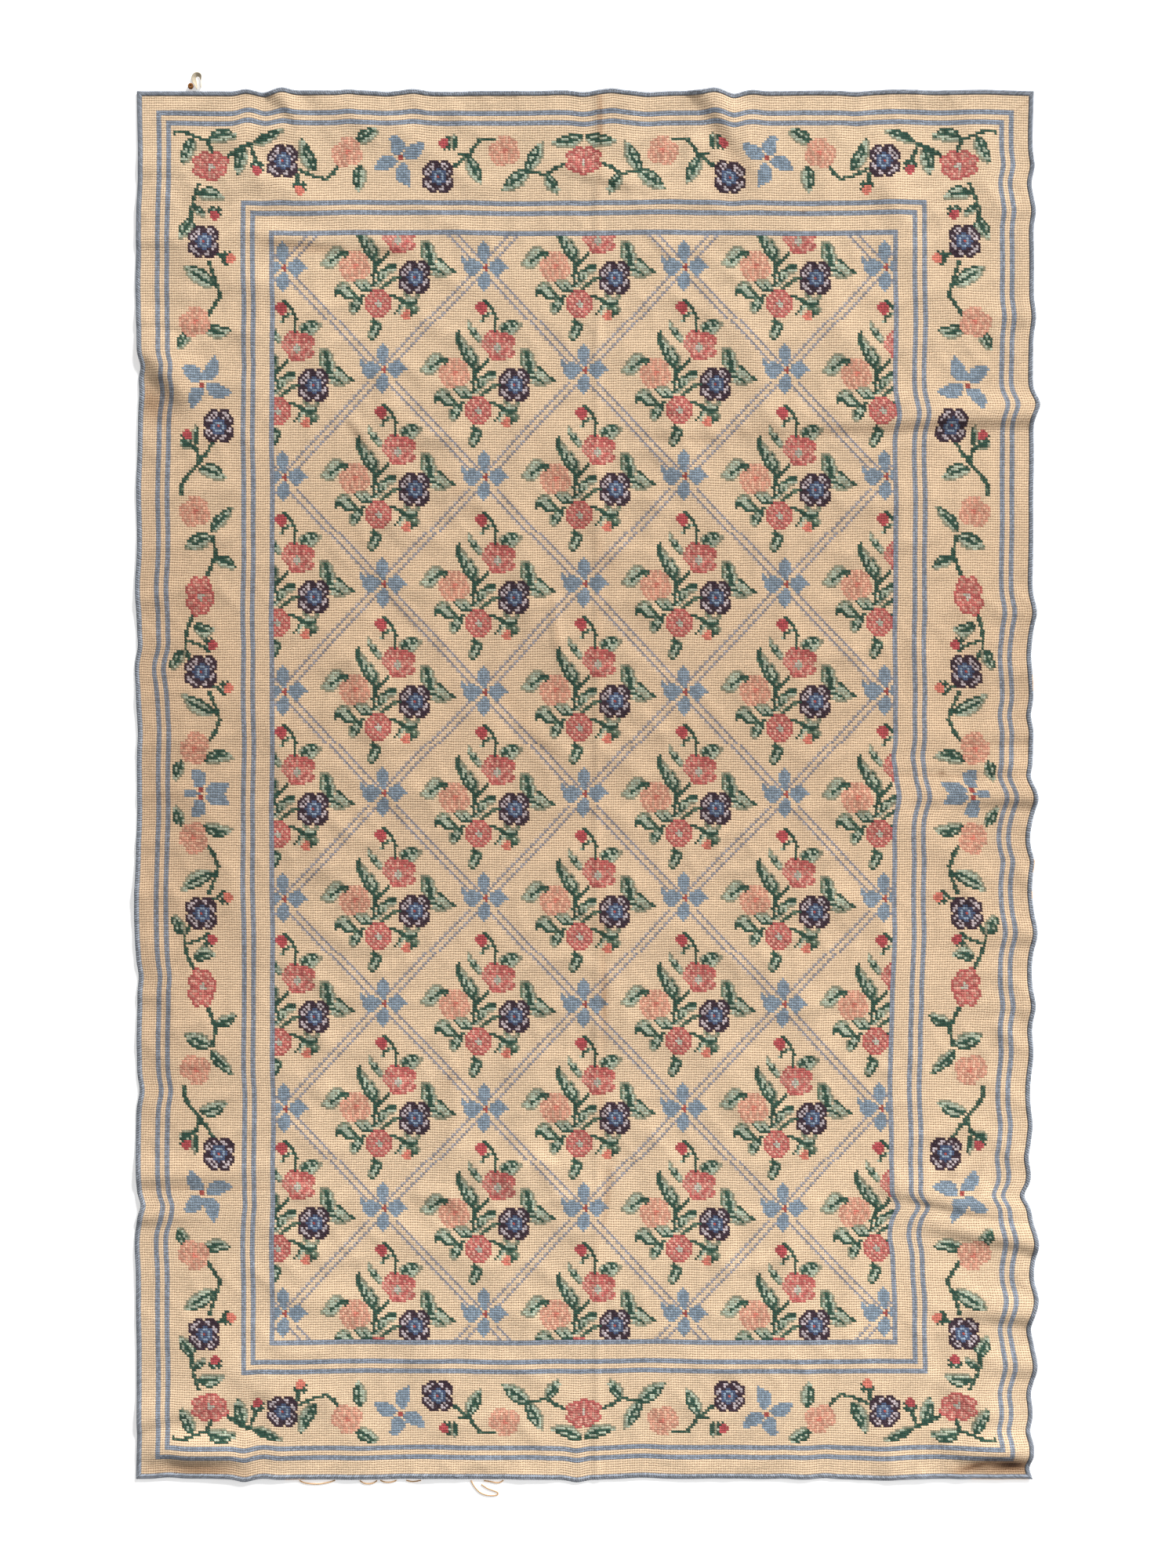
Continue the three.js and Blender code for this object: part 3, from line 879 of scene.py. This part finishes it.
def wool_material():
    """Tent stitch in wool: the yarn of each stitch, its slanting strand and the holes beside it."""
    n = Nodes("stitched_wool")
    # One of these attributes carries the stains together with the painted shade of the folds, crease,
    # hollow and curled corners
    names = ("yarn", "yarn_left", "yarn_right", "lean", "stain_and_shade")
    yarn, yarn_left, yarn_right, lean, stain_and_shade_share = (n.attribute(name) for name in names)
    place = n.new("UVMap", uv_map="stitch").outputs["UV"]
    wander = n.new("TexNoise", noise_dimensions="2D")
    n.fill(wander, Scale=0.45, Vector=place)
    moved = n.new("VectorMath", operation="MULTIPLY_ADD")
    moved = n.fill(moved, wander.outputs["Color"], (0.5, 0.5, 0), (-0.25, -0.25, 0))
    parts = n.new("SeparateXYZ")
    n.put(n.fill(n.new("VectorMath", operation="ADD"), place, moved), parts.inputs[0])
    x, y = parts.outputs["X"], parts.outputs["Y"]
    across = n.math("FRACT", x)
    along = n.math("FRACT", y)

    # Each strand runs down to the right from hole to hole, so a cell's corners belong to its neighbours
    rise = n.times(n.less(along, 0.5), n.times(lean, STRAND_SLANT))
    beside = n.add(n.less(across, 0.5), rise)
    to_right = n.math("GREATER_THAN", beside, 0.5)
    to_left = n.math("LESS_THAN", beside, -0.5)
    step = n.less(to_right, to_left)
    yarn = n.add(yarn, n.times(to_right, n.less(yarn_right, yarn)))
    yarn = n.add(yarn, n.times(to_left, n.less(yarn_left, yarn)))
    beside = n.math("ABSOLUTE", n.less(beside, step))
    cell = n.fill(n.new("CombineXYZ"), n.add(n.math("FLOOR", x), step), n.math("FLOOR", y))

    white = n.new("TexWhiteNoise", noise_dimensions="2D")
    n.put(cell, white.inputs["Vector"])
    own = white.outputs["Value"]
    streak = n.noise(n.fill(n.new("CombineXYZ"), n.times(x, 0.025), n.math("FLOOR", y)), 1.0, 1.0)
    uneven = n.add(0.16, n.times(n.math("GREATER_THAN", yarn, 1 / len(YARNS)), 0.3))
    shade = n.add(n.times(n.less(own, 0.5), uneven), n.times(streak, 0.2))

    # Dark holes at the corners, a line between the rows, and a faint gap beside each strand: partly the
    # canvas showing through, partly painted shade in these gaps
    to_column = n.less(0.5, n.math("ABSOLUTE", n.less(across, 0.5)))
    to_row = n.less(0.5, n.math("ABSOLUTE", n.less(along, 0.5)))
    to_hole = n.math("SQRT", n.add(n.math("POWER", to_column, 2.0), n.math("POWER", to_row, 2.0)))
    hole = n.times(n.between(to_hole, 0.08, 0.34, 1.0, 0.0), n.add(0.7, n.times(own, 0.5)), clamp=True)
    line = n.between(to_row, 0.02, 0.28, 0.42, 0.0)
    gap = n.between(beside, 0.28, 0.5, 0.0, 0.16)
    strand = n.less(1.0, n.math("MAXIMUM", n.math("MAXIMUM", hole, line), gap))

    geometry = n.new("TexCoord").outputs["Object"]
    fibre = n.noise(geometry, 1500.0, 3.0, 0.6)
    soil = n.noise(geometry, 2.4, 4.0, 0.55)
    patch = n.noise(geometry, 14.0, 3.0, 0.6)

    ramp = n.new("ValToRGB")
    ramp.color_ramp.interpolation = "CONSTANT"
    stops = ramp.color_ramp.elements
    stops.remove(stops[1])
    for number, colour in enumerate(YARNS.values()):
        stop = stops[0] if number == 0 else stops.new(number / len(YARNS))
        stop.color = linear(colour)
    n.put(yarn, ramp.inputs["Fac"])
    bright = n.add(shade, WOOL_BRIGHTNESS)
    for spots, strength in ((soil, 0.18), (patch, 0.10), (fibre, 0.30)):
        bright = n.add(bright, n.times(n.less(spots, 0.5), strength))
    colour = n.tinted(ramp.outputs["Color"], bright)

    # Darker in the holes, partly the canvas's brown and partly painted shade; brown over the stains and
    # over the painted shade of the folds, crease, hollow and curled corners; and darker still where these
    # are deepest
    for share, tint in (
        # Painted shade in the holes and gaps, over the canvas's own brown
        (n.less(1.0, strand), (0.40, 0.28, 0.21, 1.0)),
        (stain_and_shade_share, (0.30, 0.16, 0.07, 1.0)),
        (n.between(stain_and_shade_share, 0.65, 1.0, 0.0, 1.0), (0.2, 0.16, 0.14, 1.0)),
    ):
        colour = n.mix(share, colour, n.mix(1.0, colour, tint, "MULTIPLY"))
    n.put(0.18, n.shader.inputs["Sheen Weight"])
    n.put(0.5, n.shader.inputs["Sheen Roughness"])
    height = n.add(strand, n.times(fibre, 0.16))
    return n.finish(colour, n.bump(height, 0.0012, 0.8), 0.92, 0.18)


def woven_material(name, colour, scale, depth):
    """A plain weave of two sets of threads, for tape and canvas."""
    n = Nodes(name)
    geometry = n.new("TexCoord").outputs["Object"]
    parts = n.new("SeparateXYZ")
    n.put(geometry, parts.inputs[0])
    warp = n.math("ABSOLUTE", n.math("SINE", n.times(parts.outputs["X"], scale)))
    weft = n.math("ABSOLUTE", n.math("SINE", n.times(parts.outputs["Y"], scale)))
    thread = n.times(warp, weft)
    tint = n.noise(geometry, 90.0, 4.0)
    # Painted shade in the gaps between the threads
    bright = n.add(n.between(thread, 0.0, 0.6, 0.62, 1.0), n.times(tint, 0.25))
    return n.finish(n.tinted(linear(colour), bright), n.bump(thread, depth, 0.7), 0.9, 0.2)


def yarn_material(name, colour):
    """Loose wool or thread, with fine fibres along it."""
    n = Nodes(name)
    geometry = n.new("TexCoord").outputs["Object"]
    fibre = n.noise(geometry, 1600.0, 3.0, 0.6)
    tint = n.noise(geometry, 120.0, 3.0)
    bright = n.add(n.add(n.times(fibre, 0.5), n.times(tint, 0.4)), 0.5)
    return n.finish(n.tinted(linear(colour), bright), n.bump(fibre, 0.0006, 0.8), 0.92, 0.2)


WOOL = wool_material()
CANVAS = woven_material("tan_canvas", (196, 158, 110), 2400.0, 0.0005)
TAPE = woven_material("tie_tape", (205, 192, 168), 4200.0, 0.0003)
LOOSE = yarn_material("loose_yarn", (212, 172, 128))
THREAD = yarn_material("knot_thread", (142, 92, 46))


def placed(name, data):
    thing = bpy.data.objects.new(name, data)
    bpy.context.scene.collection.objects.link(thing)
    return thing


def mesh_object(name, points, faces, materials, smooth=True):
    mesh = bpy.data.meshes.new(name)
    mesh.from_pydata([tuple(point) for point in points], [], faces)
    for material in materials:
        mesh.materials.append(material)
    mesh.polygons.foreach_set("use_smooth", np.full(len(mesh.polygons), smooth))
    return placed(name, mesh)


def add_uv(mesh, name, per_vertex):
    """A UV map from a pair of numbers for each vertex."""
    corners = np.empty(len(mesh.loops), dtype=np.int32)
    mesh.loops.foreach_get("vertex_index", corners)
    layer = mesh.uv_layers.new(name=name)
    layer.data.foreach_set("uv", np.asarray(per_vertex, dtype=np.float32)[corners].ravel())


def add_face_numbers(mesh, name, values):
    layer = mesh.attributes.new(name, "FLOAT", "FACE")
    layer.data.foreach_set("value", np.asarray(values, dtype=np.float32))


# The cloth, in panels whose faces have one quad for each stitch
PANEL_COLUMNS = [0, 185, COLUMNS]
PANEL_ROWS = [0, 183, 366, ROWS]
BACK_STEP = 4
CHART = rug_chart()
LEAN = slants()


def column_at(stitch):
    return np.interp(stitch, *COLUMN_PLACES)


def row_at(stitch):
    return np.interp(stitch, *ROW_PLACES)


def back_lines(first, last):
    lines = list(range(first, last, BACK_STEP))
    if last - lines[-1] < BACK_STEP / 2 and len(lines) > 1:
        lines.pop()
    return lines + [last]


def cloth_panel(name, first_column, last_column, first_row, last_row):
    """A closed slab: a stitched face, a coarse plain back, and rims that join them."""
    wide = last_column - first_column + 1
    tall = last_row - first_row + 1
    stitch_x, stitch_y = np.meshgrid(
        np.arange(first_column, last_column + 1), np.arange(first_row, last_row + 1))
    u = column_at(stitch_x.astype(float))
    v = row_at(stitch_y.astype(float))
    face = on_rug(u, v, CLOTH_THICKNESS).reshape(-1, 3)
    index = np.arange(wide * tall).reshape(tall, wide)
    quads = np.stack([index[1:, :-1], index[1:, 1:], index[:-1, 1:], index[:-1, :-1]], axis=-1)
    quads = quads.reshape(-1, 4)

    # The back has every vertex of the panel's rim, and coarse lines inside
    back_columns = back_lines(first_column, last_column)
    back_rows = back_lines(first_row, last_row)
    on_rim = np.isin(stitch_x, (first_column, last_column)) | np.isin(stitch_y, (first_row, last_row))
    on_line = np.isin(stitch_x, back_columns) & np.isin(stitch_y, back_rows)
    kept = on_rim | on_line
    back_index = np.full((tall, wide), -1)
    back_index[kept] = wide * tall + np.arange(kept.sum())
    back = on_rug(u[kept], v[kept], 0.0)

    def side(j0, i0, j1, i1):
        """Back vertices from one corner of a coarse cell to the next, without the last."""
        count = max(abs(j1 - j0), abs(i1 - i0))
        js = np.linspace(j0, j1, count + 1).round().astype(int)[:-1]
        i_s = np.linspace(i0, i1, count + 1).round().astype(int)[:-1]
        return [int(k) for k in back_index[js, i_s] if k >= 0]

    faces = quads.tolist()
    for top, bottom in zip(back_rows, back_rows[1:]):
        for left, right in zip(back_columns, back_columns[1:]):
            j0, j1 = top - first_row, bottom - first_row
            i0, i1 = left - first_column, right - first_column
            loop = side(j0, i0, j0, i1) + side(j0, i1, j1, i1)
            faces.append(loop + side(j1, i1, j1, i0) + side(j1, i0, j0, i0))
    rim = [(0, i) for i in range(wide - 1)] + [(j, wide - 1) for j in range(tall - 1)]
    rim += [(tall - 1, i) for i in range(wide - 1, 0, -1)] + [(j, 0) for j in range(tall - 1, 0, -1)]
    for a, b in zip(rim, rim[1:] + rim[:1]):
        faces.append([int(k) for k in (index[a], index[b], back_index[b], back_index[a])])

    piece = mesh_object(name, np.concatenate([face, back]), faces, [WOOL, CANVAS])
    mesh = piece.data
    places = np.stack([stitch_x, ROWS - stitch_y], axis=-1)
    add_uv(mesh, "stitch", np.concatenate([places.reshape(-1, 2), places[kept]]))
    rest = len(faces) - len(quads)
    for label, step in (("yarn_left", -1), ("yarn", 0), ("yarn_right", 1)):
        columns = np.clip(np.arange(first_column, last_column) + step, 0, COLUMNS - 1)
        yarns = CHART[first_row:last_row][:, columns].ravel()
        add_face_numbers(mesh, label, np.concatenate([(yarns + 0.5) / len(YARNS), np.zeros(rest)]))
    cell_lean = LEAN[first_row:last_row, first_column:last_column].ravel()
    add_face_numbers(mesh, "lean", np.concatenate([cell_lean, np.ones(rest)]))
    # Stains and painted shade, one value for each stitch
    cell_stain_and_shade = stain_and_shade(u[:-1, :-1], v[:-1, :-1]).ravel()
    add_face_numbers(mesh, "stain_and_shade", np.concatenate([cell_stain_and_shade, np.zeros(rest)]))
    slots = np.zeros(len(faces), dtype=np.int32)
    slots[len(quads):] = 1
    mesh.polygons.foreach_set("material_index", slots)

    # The face's rim is sharp, so that its shading runs on unbroken into the next panel
    ends = np.empty(len(mesh.edges) * 2, dtype=np.int32)
    mesh.edges.foreach_get("vertices", ends)
    face_rim = np.zeros(len(mesh.vertices), dtype=bool)
    face_rim[index[on_rim]] = True
    mesh.edges.foreach_set("use_edge_sharp", face_rim[ends.reshape(-1, 2)].all(axis=1))
    mesh.update()
    return piece


for down, (first_row, last_row) in enumerate(zip(PANEL_ROWS, PANEL_ROWS[1:])):
    for over, (first_column, last_column) in enumerate(zip(PANEL_COLUMNS, PANEL_COLUMNS[1:])):
        name = f"stitched_cloth_{down + 1}_{over + 1}"
        panel = cloth_panel(name, first_column, last_column, first_row, last_row)
        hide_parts("rug_cloth")
        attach(panel, "root")


# The whipped edge: two rows of stitches over the rug's rim, and a plain turn under it
EDGE_TURNS = [
    (-0.5, 4.3), (2.2, 6.0), (5.0, 6.3), (7.9, 5.7), (10.0, 3.2), (8.6, 0.7), (4.5, 0.1), (-0.5, 0.3),
]
EDGE_PER_STITCH = 4

# Where the edge's wool has worn through and its canvas shows: the first and last place on a side
WORN_EDGE = {"right": [(190, 222), (-175, -148), (-228, -212)], "bottom": [(775, 890), (-600, -560)]}
EDGE_BULGE = 0.45


def edge_piece(name, side, first, last, stitches):
    """A length of the edge, from one share to another of its side, as a closed body."""
    sideways = OUTWARD[side][0] == 0
    count = stitches * EDGE_PER_STITCH
    steps = np.linspace(first, last, count + 1)
    half_along = (RUG_WIDTH if sideways else RUG_LENGTH) / 2 - EDGE_WIDTH - GAP
    half_out = (RUG_LENGTH if sideways else RUG_WIDTH) / 2 - EDGE_WIDTH
    turns = len(EDGE_TURNS)
    middle = (4.8, 3.2)
    points = np.empty((count + 1, turns, 3))
    beat = np.arange(count + 1) / EDGE_PER_STITCH
    for k, (across, up) in enumerate(EDGE_TURNS):
        swell = 1 + EDGE_BULGE * (np.abs(np.sin(np.pi * (beat + 0.35 * (k % 2)))) - 0.75) / 3.2
        swell = np.where(up < 1, 1.0, swell)
        out = half_out + middle[0] + (across - middle[0]) * swell
        rise = middle[1] + (up - middle[1]) * swell
        along = steps * (half_along + across)
        u = along if sideways else OUTWARD[side][0] * out
        v = OUTWARD[side][1] * out if sideways else along
        points[:, k] = on_rug(u, v, rise)
    quads = []
    turns_over = side in ("right", "bottom")
    for j in range(count):
        for k in range(turns):
            a, b = j * turns + k, j * turns + (k + 1) % turns
            quad = [a, b, b + turns, a + turns]
            quads.append(quad if turns_over else quad[::-1])
    start = list(range(turns))
    end = [count * turns + k for k in start]
    faces = quads + [start[::-1] if turns_over else start, end if turns_over else end[::-1]]
    piece = mesh_object(name, points.reshape(-1, 3), faces, [WOOL])
    mesh = piece.data

    # Two stitches across the top, counted round the section
    around = np.arange(turns) / 2
    uv = np.empty((len(mesh.loops), 2), dtype=np.float32)
    corner = 0
    for j in range(count):
        for k in range(turns):
            low, high = around[k], around[k] + 0.5
            pair = [(low, beat[j]), (high, beat[j]), (high, beat[j + 1]), (low, beat[j + 1])]
            uv[corner:corner + 4] = pair if turns_over else pair[::-1]
            corner += 4
    uv[corner:] = 0.5
    if sideways:
        uv = uv[:, ::-1].copy()
    layer = mesh.uv_layers.new(name="stitch")
    layer.data.foreach_set("uv", uv.ravel())
    lean = np.where(np.arange(len(faces)) % turns < 2, 1.0, -1.0)
    yarns = np.full(len(faces), YARN_NUMBER["edge_blue"])
    for first_place, last_place in WORN_EDGE.get(side, []):
        places = np.repeat(0.5 * (steps[1:] + steps[:-1]) * half_along, turns)
        rim = np.tile(np.isin(np.arange(turns), (3, 4)), count)
        yarns[:len(quads)][rim & (places > first_place) & (places < last_place)] = YARN_NUMBER["tan"]
    for label in ("yarn_left", "yarn", "yarn_right"):
        add_face_numbers(mesh, label, (yarns + 0.5) / len(YARNS))
    add_face_numbers(mesh, "lean", lean)
    add_face_numbers(mesh, "stain_and_shade", np.zeros(len(faces)))
    mesh.update()
    return piece


EDGE_LENGTHS = {"top": (2, 187), "bottom": (2, 187), "left": (3, 192), "right": (3, 192)}
for side, (pieces, stitches) in EDGE_LENGTHS.items():
    marks = np.linspace(-1, 1, pieces + 1)
    for number, (first, last) in enumerate(zip(marks, marks[1:])):
        edge = edge_piece(f"whipped_edge_{side}_{number + 1}", side, first, last, stitches)
        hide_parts(f"edge_binding_{side}")
        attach(edge, "root")


# Cords: the tape tie and the loose yarn
UP = np.array((0, 0, 1))


def smooth_route(points, count):
    """Points on one smooth curve through the given ones, with even parameter steps."""
    given = [np.asarray(point, float) for point in points]
    given = [2 * given[0] - given[1]] + given + [2 * given[-1] - given[-2]]
    spans = len(points) - 1
    route = []
    for k in range(count + 1):
        place = min(k / count * spans, spans - 1e-9)
        i = int(place)
        t = place - i
        a, b, c, d = given[i:i + 4]
        route.append(0.5 * (2 * b + (c - a) * t + (2 * a - 5 * b + 4 * c - d) * t * t
                            + (3 * b - a - 3 * c + d) * t ** 3))
    return np.array(route)


def swept(name, rings, material, joined=False):
    """A tube through rings of points, joined to its own start or closed at both ends."""
    rings = np.asarray(rings)
    count, sides = rings.shape[:2]
    total = count * sides
    faces = []
    for j in range(count if joined else count - 1):
        for k in range(sides):
            a, b = j * sides + k, j * sides + (k + 1) % sides
            faces.append([a, b, (b + sides) % total, (a + sides) % total])
    if not joined:
        faces.append(list(range(sides))[::-1])
        faces.append(list(range(total - sides, total)))
    return mesh_object(name, rings.reshape(-1, 3), faces, [material])


LOOSE_YARNS = {
    "yarn_loop_1": [(-578, -1408), (-566, -1413), (-542, -1415), (-521, -1412), (-506, -1407.5)],
    "yarn_loop_2": [(-456, -1408), (-448, -1413), (-438.5, -1414.5), (-429, -1413), (-421, -1408)],
    "yarn_loop_3": [
        (-414.5, -1407.5), (-407, -1410.5), (-399, -1411.5), (-390, -1410.5), (-381.5, -1407.5),
    ],
    "yarn_loop_4": [(-362, -1407.5), (-352, -1409.7), (-343, -1409.5), (-332, -1407.5)],
    "yarn_loop_5": [(-205, -1408), (-192, -1410), (-180, -1412.5), (-172, -1411.5), (-165.5, -1407.5)],
    "yarn_bunch": [
        (-231, -1408), (-224, -1420), (-214, -1431), (-203, -1436.5), (-190, -1438.5),
        (-178, -1437), (-177, -1432), (-187, -1428), (-199, -1423), (-210, -1415.5),
    ],
}


def strand(name, node, plan):
    """A loose two-ply yarn that lies on the floor."""
    height = YARN_DIAMETER / 2 + FLOOR_CLEARANCE
    flat = smooth_route([(x - BOX_CENTRE[0], y - BOX_CENTRE[1], height) for x, y in plan], 14 * len(plan))
    route = flat * MM
    ways = np.gradient(route, axis=0)
    ways /= np.linalg.norm(ways, axis=1)[:, None]
    travelled = np.concatenate([[0], np.cumsum(np.linalg.norm(np.diff(flat, axis=0), axis=1))])
    sides = 10
    rings = []
    for centre, way, distance in zip(route, ways, travelled):
        flat_way = np.cross(way, UP)
        ring = []
        for k in range(sides):
            turn = 2 * math.pi * k / sides
            ply = abs(math.cos(turn - 0.7 * distance))
            radius = YARN_DIAMETER / 2 * MM * (0.74 + 0.26 * ply)
            ring.append(centre + radius * (math.cos(turn) * flat_way + math.sin(turn) * UP))
        rings.append(ring)
    piece = swept(name, [ring[::-1] for ring in rings], LOOSE)
    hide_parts(node)
    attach(piece, "root")


# The tape's route: x, y and how far it is turned, 0 flat and 90 on edge
TAPE_ROUTE = [
    (-785.5, 1407.5, 90), (-787.5, 1416, 60), (-790.5, 1424, 25), (-792, 1431.1, 20),
    (-790.3, 1435.7, 25), (-786.1, 1438.1, 30), (-781.4, 1437.2, 35), (-778.2, 1433.5, 50),
    (-777, 1426, 75), (-776.8, 1418, 88), (-777.2, 1411, 90),
]


def tape_tie():
    """A narrow woven tape that lies flat, bends over and ends standing on its edge."""
    plan = smooth_route(TAPE_ROUTE, 64)
    turns = np.radians(np.clip(plan[:, 2], 0, 90))
    rise = TAPE_THICKNESS / 2 + FLOOR_CLEARANCE + TAPE_WIDTH / 2 * np.abs(np.sin(turns))
    route = np.stack([plan[:, 0] - BOX_CENTRE[0], plan[:, 1] - BOX_CENTRE[1], rise], axis=-1)
    rings = []
    for centre, way, turn in zip(route, np.gradient(route, axis=0), turns):
        ahead = np.array([way[0], way[1], 0]) / np.hypot(way[0], way[1])
        flat_way = np.array([ahead[1], -ahead[0], 0])
        wide = flat_way * math.cos(turn) + np.cross(ahead, flat_way) * math.sin(turn)
        thick = np.cross(wide, ahead)
        ring = []
        for face in (-1, 1):
            for share in np.linspace(face, -face, 7):
                deep = face * TAPE_THICKNESS / 2 * (1 - 0.5 * share ** 4)
                ring.append(centre + wide * share * TAPE_WIDTH / 2 + thick * deep)
        rings.append([point * MM for point in ring[::-1]])
    piece = swept("tape_tie", rings, TAPE)
    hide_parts("hanging_tie")
    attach(piece, "root")
    return piece, route * MM


KNOT_PLACE = np.array([-798, 1413.6])
KNOT_RADII = np.array([6, 6.5, 4.5])
KNOT_THREAD = 1.5


def knot():
    """A knot of thread, wound round itself in a closed run of turns."""
    middle = np.append(KNOT_PLACE - BOX_CENTRE, KNOT_RADII[2] + FLOOR_CLEARANCE)
    count = 260
    route = []
    for k in range(count + 1):
        turn = 2 * math.pi * k / count
        far = 0.72 + 0.28 * math.cos(7 * turn)
        point = math.cos(3 * turn) * far, math.sin(3 * turn) * far, 0.95 * math.sin(7 * turn)
        route.append(middle + (KNOT_RADII - KNOT_THREAD) * point)
    route = np.array(route)
    ways = np.roll(route[:-1], -1, axis=0) - np.roll(route[:-1], 1, axis=0)
    ways /= np.linalg.norm(ways, axis=1)[:, None]
    sides = 8
    rings = []
    for centre, way in zip(route[:-1], ways):
        outward = centre - middle
        outward = outward - way * outward.dot(way)
        outward /= np.linalg.norm(outward)
        other = np.cross(way, outward)
        ring = []
        for k in range(sides):
            turn = 2 * math.pi * k / sides
            ring.append((centre + KNOT_THREAD * (math.cos(turn) * outward + math.sin(turn) * other)) * MM)
        rings.append(ring)
    piece = swept("thread_knot", rings, THREAD, joined=True)
    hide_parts("tie_knot")
    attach(piece, "root")
    return piece


for yarn_name, plan in LOOSE_YARNS.items():
    strand(f"loose_{yarn_name}", yarn_name, plan)
tape, tape_path = tape_tie()
thread_knot = knot()


# Floor, light and camera
FLOOR_REACH = 6
FRAME_HEIGHT = 3175
FRAME_MIDDLE = (1.65, 1.08)
CAMERA_HEIGHT = 5.0


def studio():
    corners = [(x * FLOOR_REACH, y * FLOOR_REACH, 0) for x, y in ((-1, -1), (1, -1), (1, 1), (-1, 1))]
    floor = mesh_object("floor", corners, [[0, 1, 2, 3]], [], False)
    n = Nodes("pale_floor")
    n.fill(n.shader, (0.95, 0.95, 0.95, 1), Roughness=0.9)
    n.put((1, 1, 1, 1), n.shader.inputs["Emission Color"])
    n.put(0.4, n.shader.inputs["Emission Strength"])
    floor.data.materials.append(n.material)

    world = bpy.data.worlds.new("soft_room")
    world.use_nodes = True
    sky = world.node_tree.nodes["Background"].inputs
    sky["Color"].default_value = (1.0, 1.0, 1.0, 1)
    sky["Strength"].default_value = 0.35
    bpy.context.scene.world = world

    sun = bpy.data.lights.new("window", "SUN")
    sun.energy = 5.2
    sun.angle = 0.22
    placed("window", sun).rotation_euler = Vector((1.2, 2.0, 1.2)).to_track_quat("Z", "Y").to_euler()

    glow = bpy.data.lights.new("lamp", "AREA")
    glow.shape = "DISK"
    glow.size = 1.6
    glow.energy = 30
    light = placed("lamp", glow)
    light.location = (3.2, -0.4, 1.8)
    light.rotation_euler = (light.location - Vector((0.3, -0.2, 0))).to_track_quat("Z", "Y").to_euler()

    lens = bpy.data.cameras.new("camera")
    lens.sensor_fit = "VERTICAL"
    lens.sensor_height = 24
    lens.lens = 24 * CAMERA_HEIGHT / (FRAME_HEIGHT * MM)
    camera = placed("camera", lens)
    camera.location = (FRAME_MIDDLE[0] * MM, FRAME_MIDDLE[1] * MM, CAMERA_HEIGHT)
    bpy.context.scene.camera = camera
    bpy.context.scene.view_settings.view_transform = "Standard"


studio()
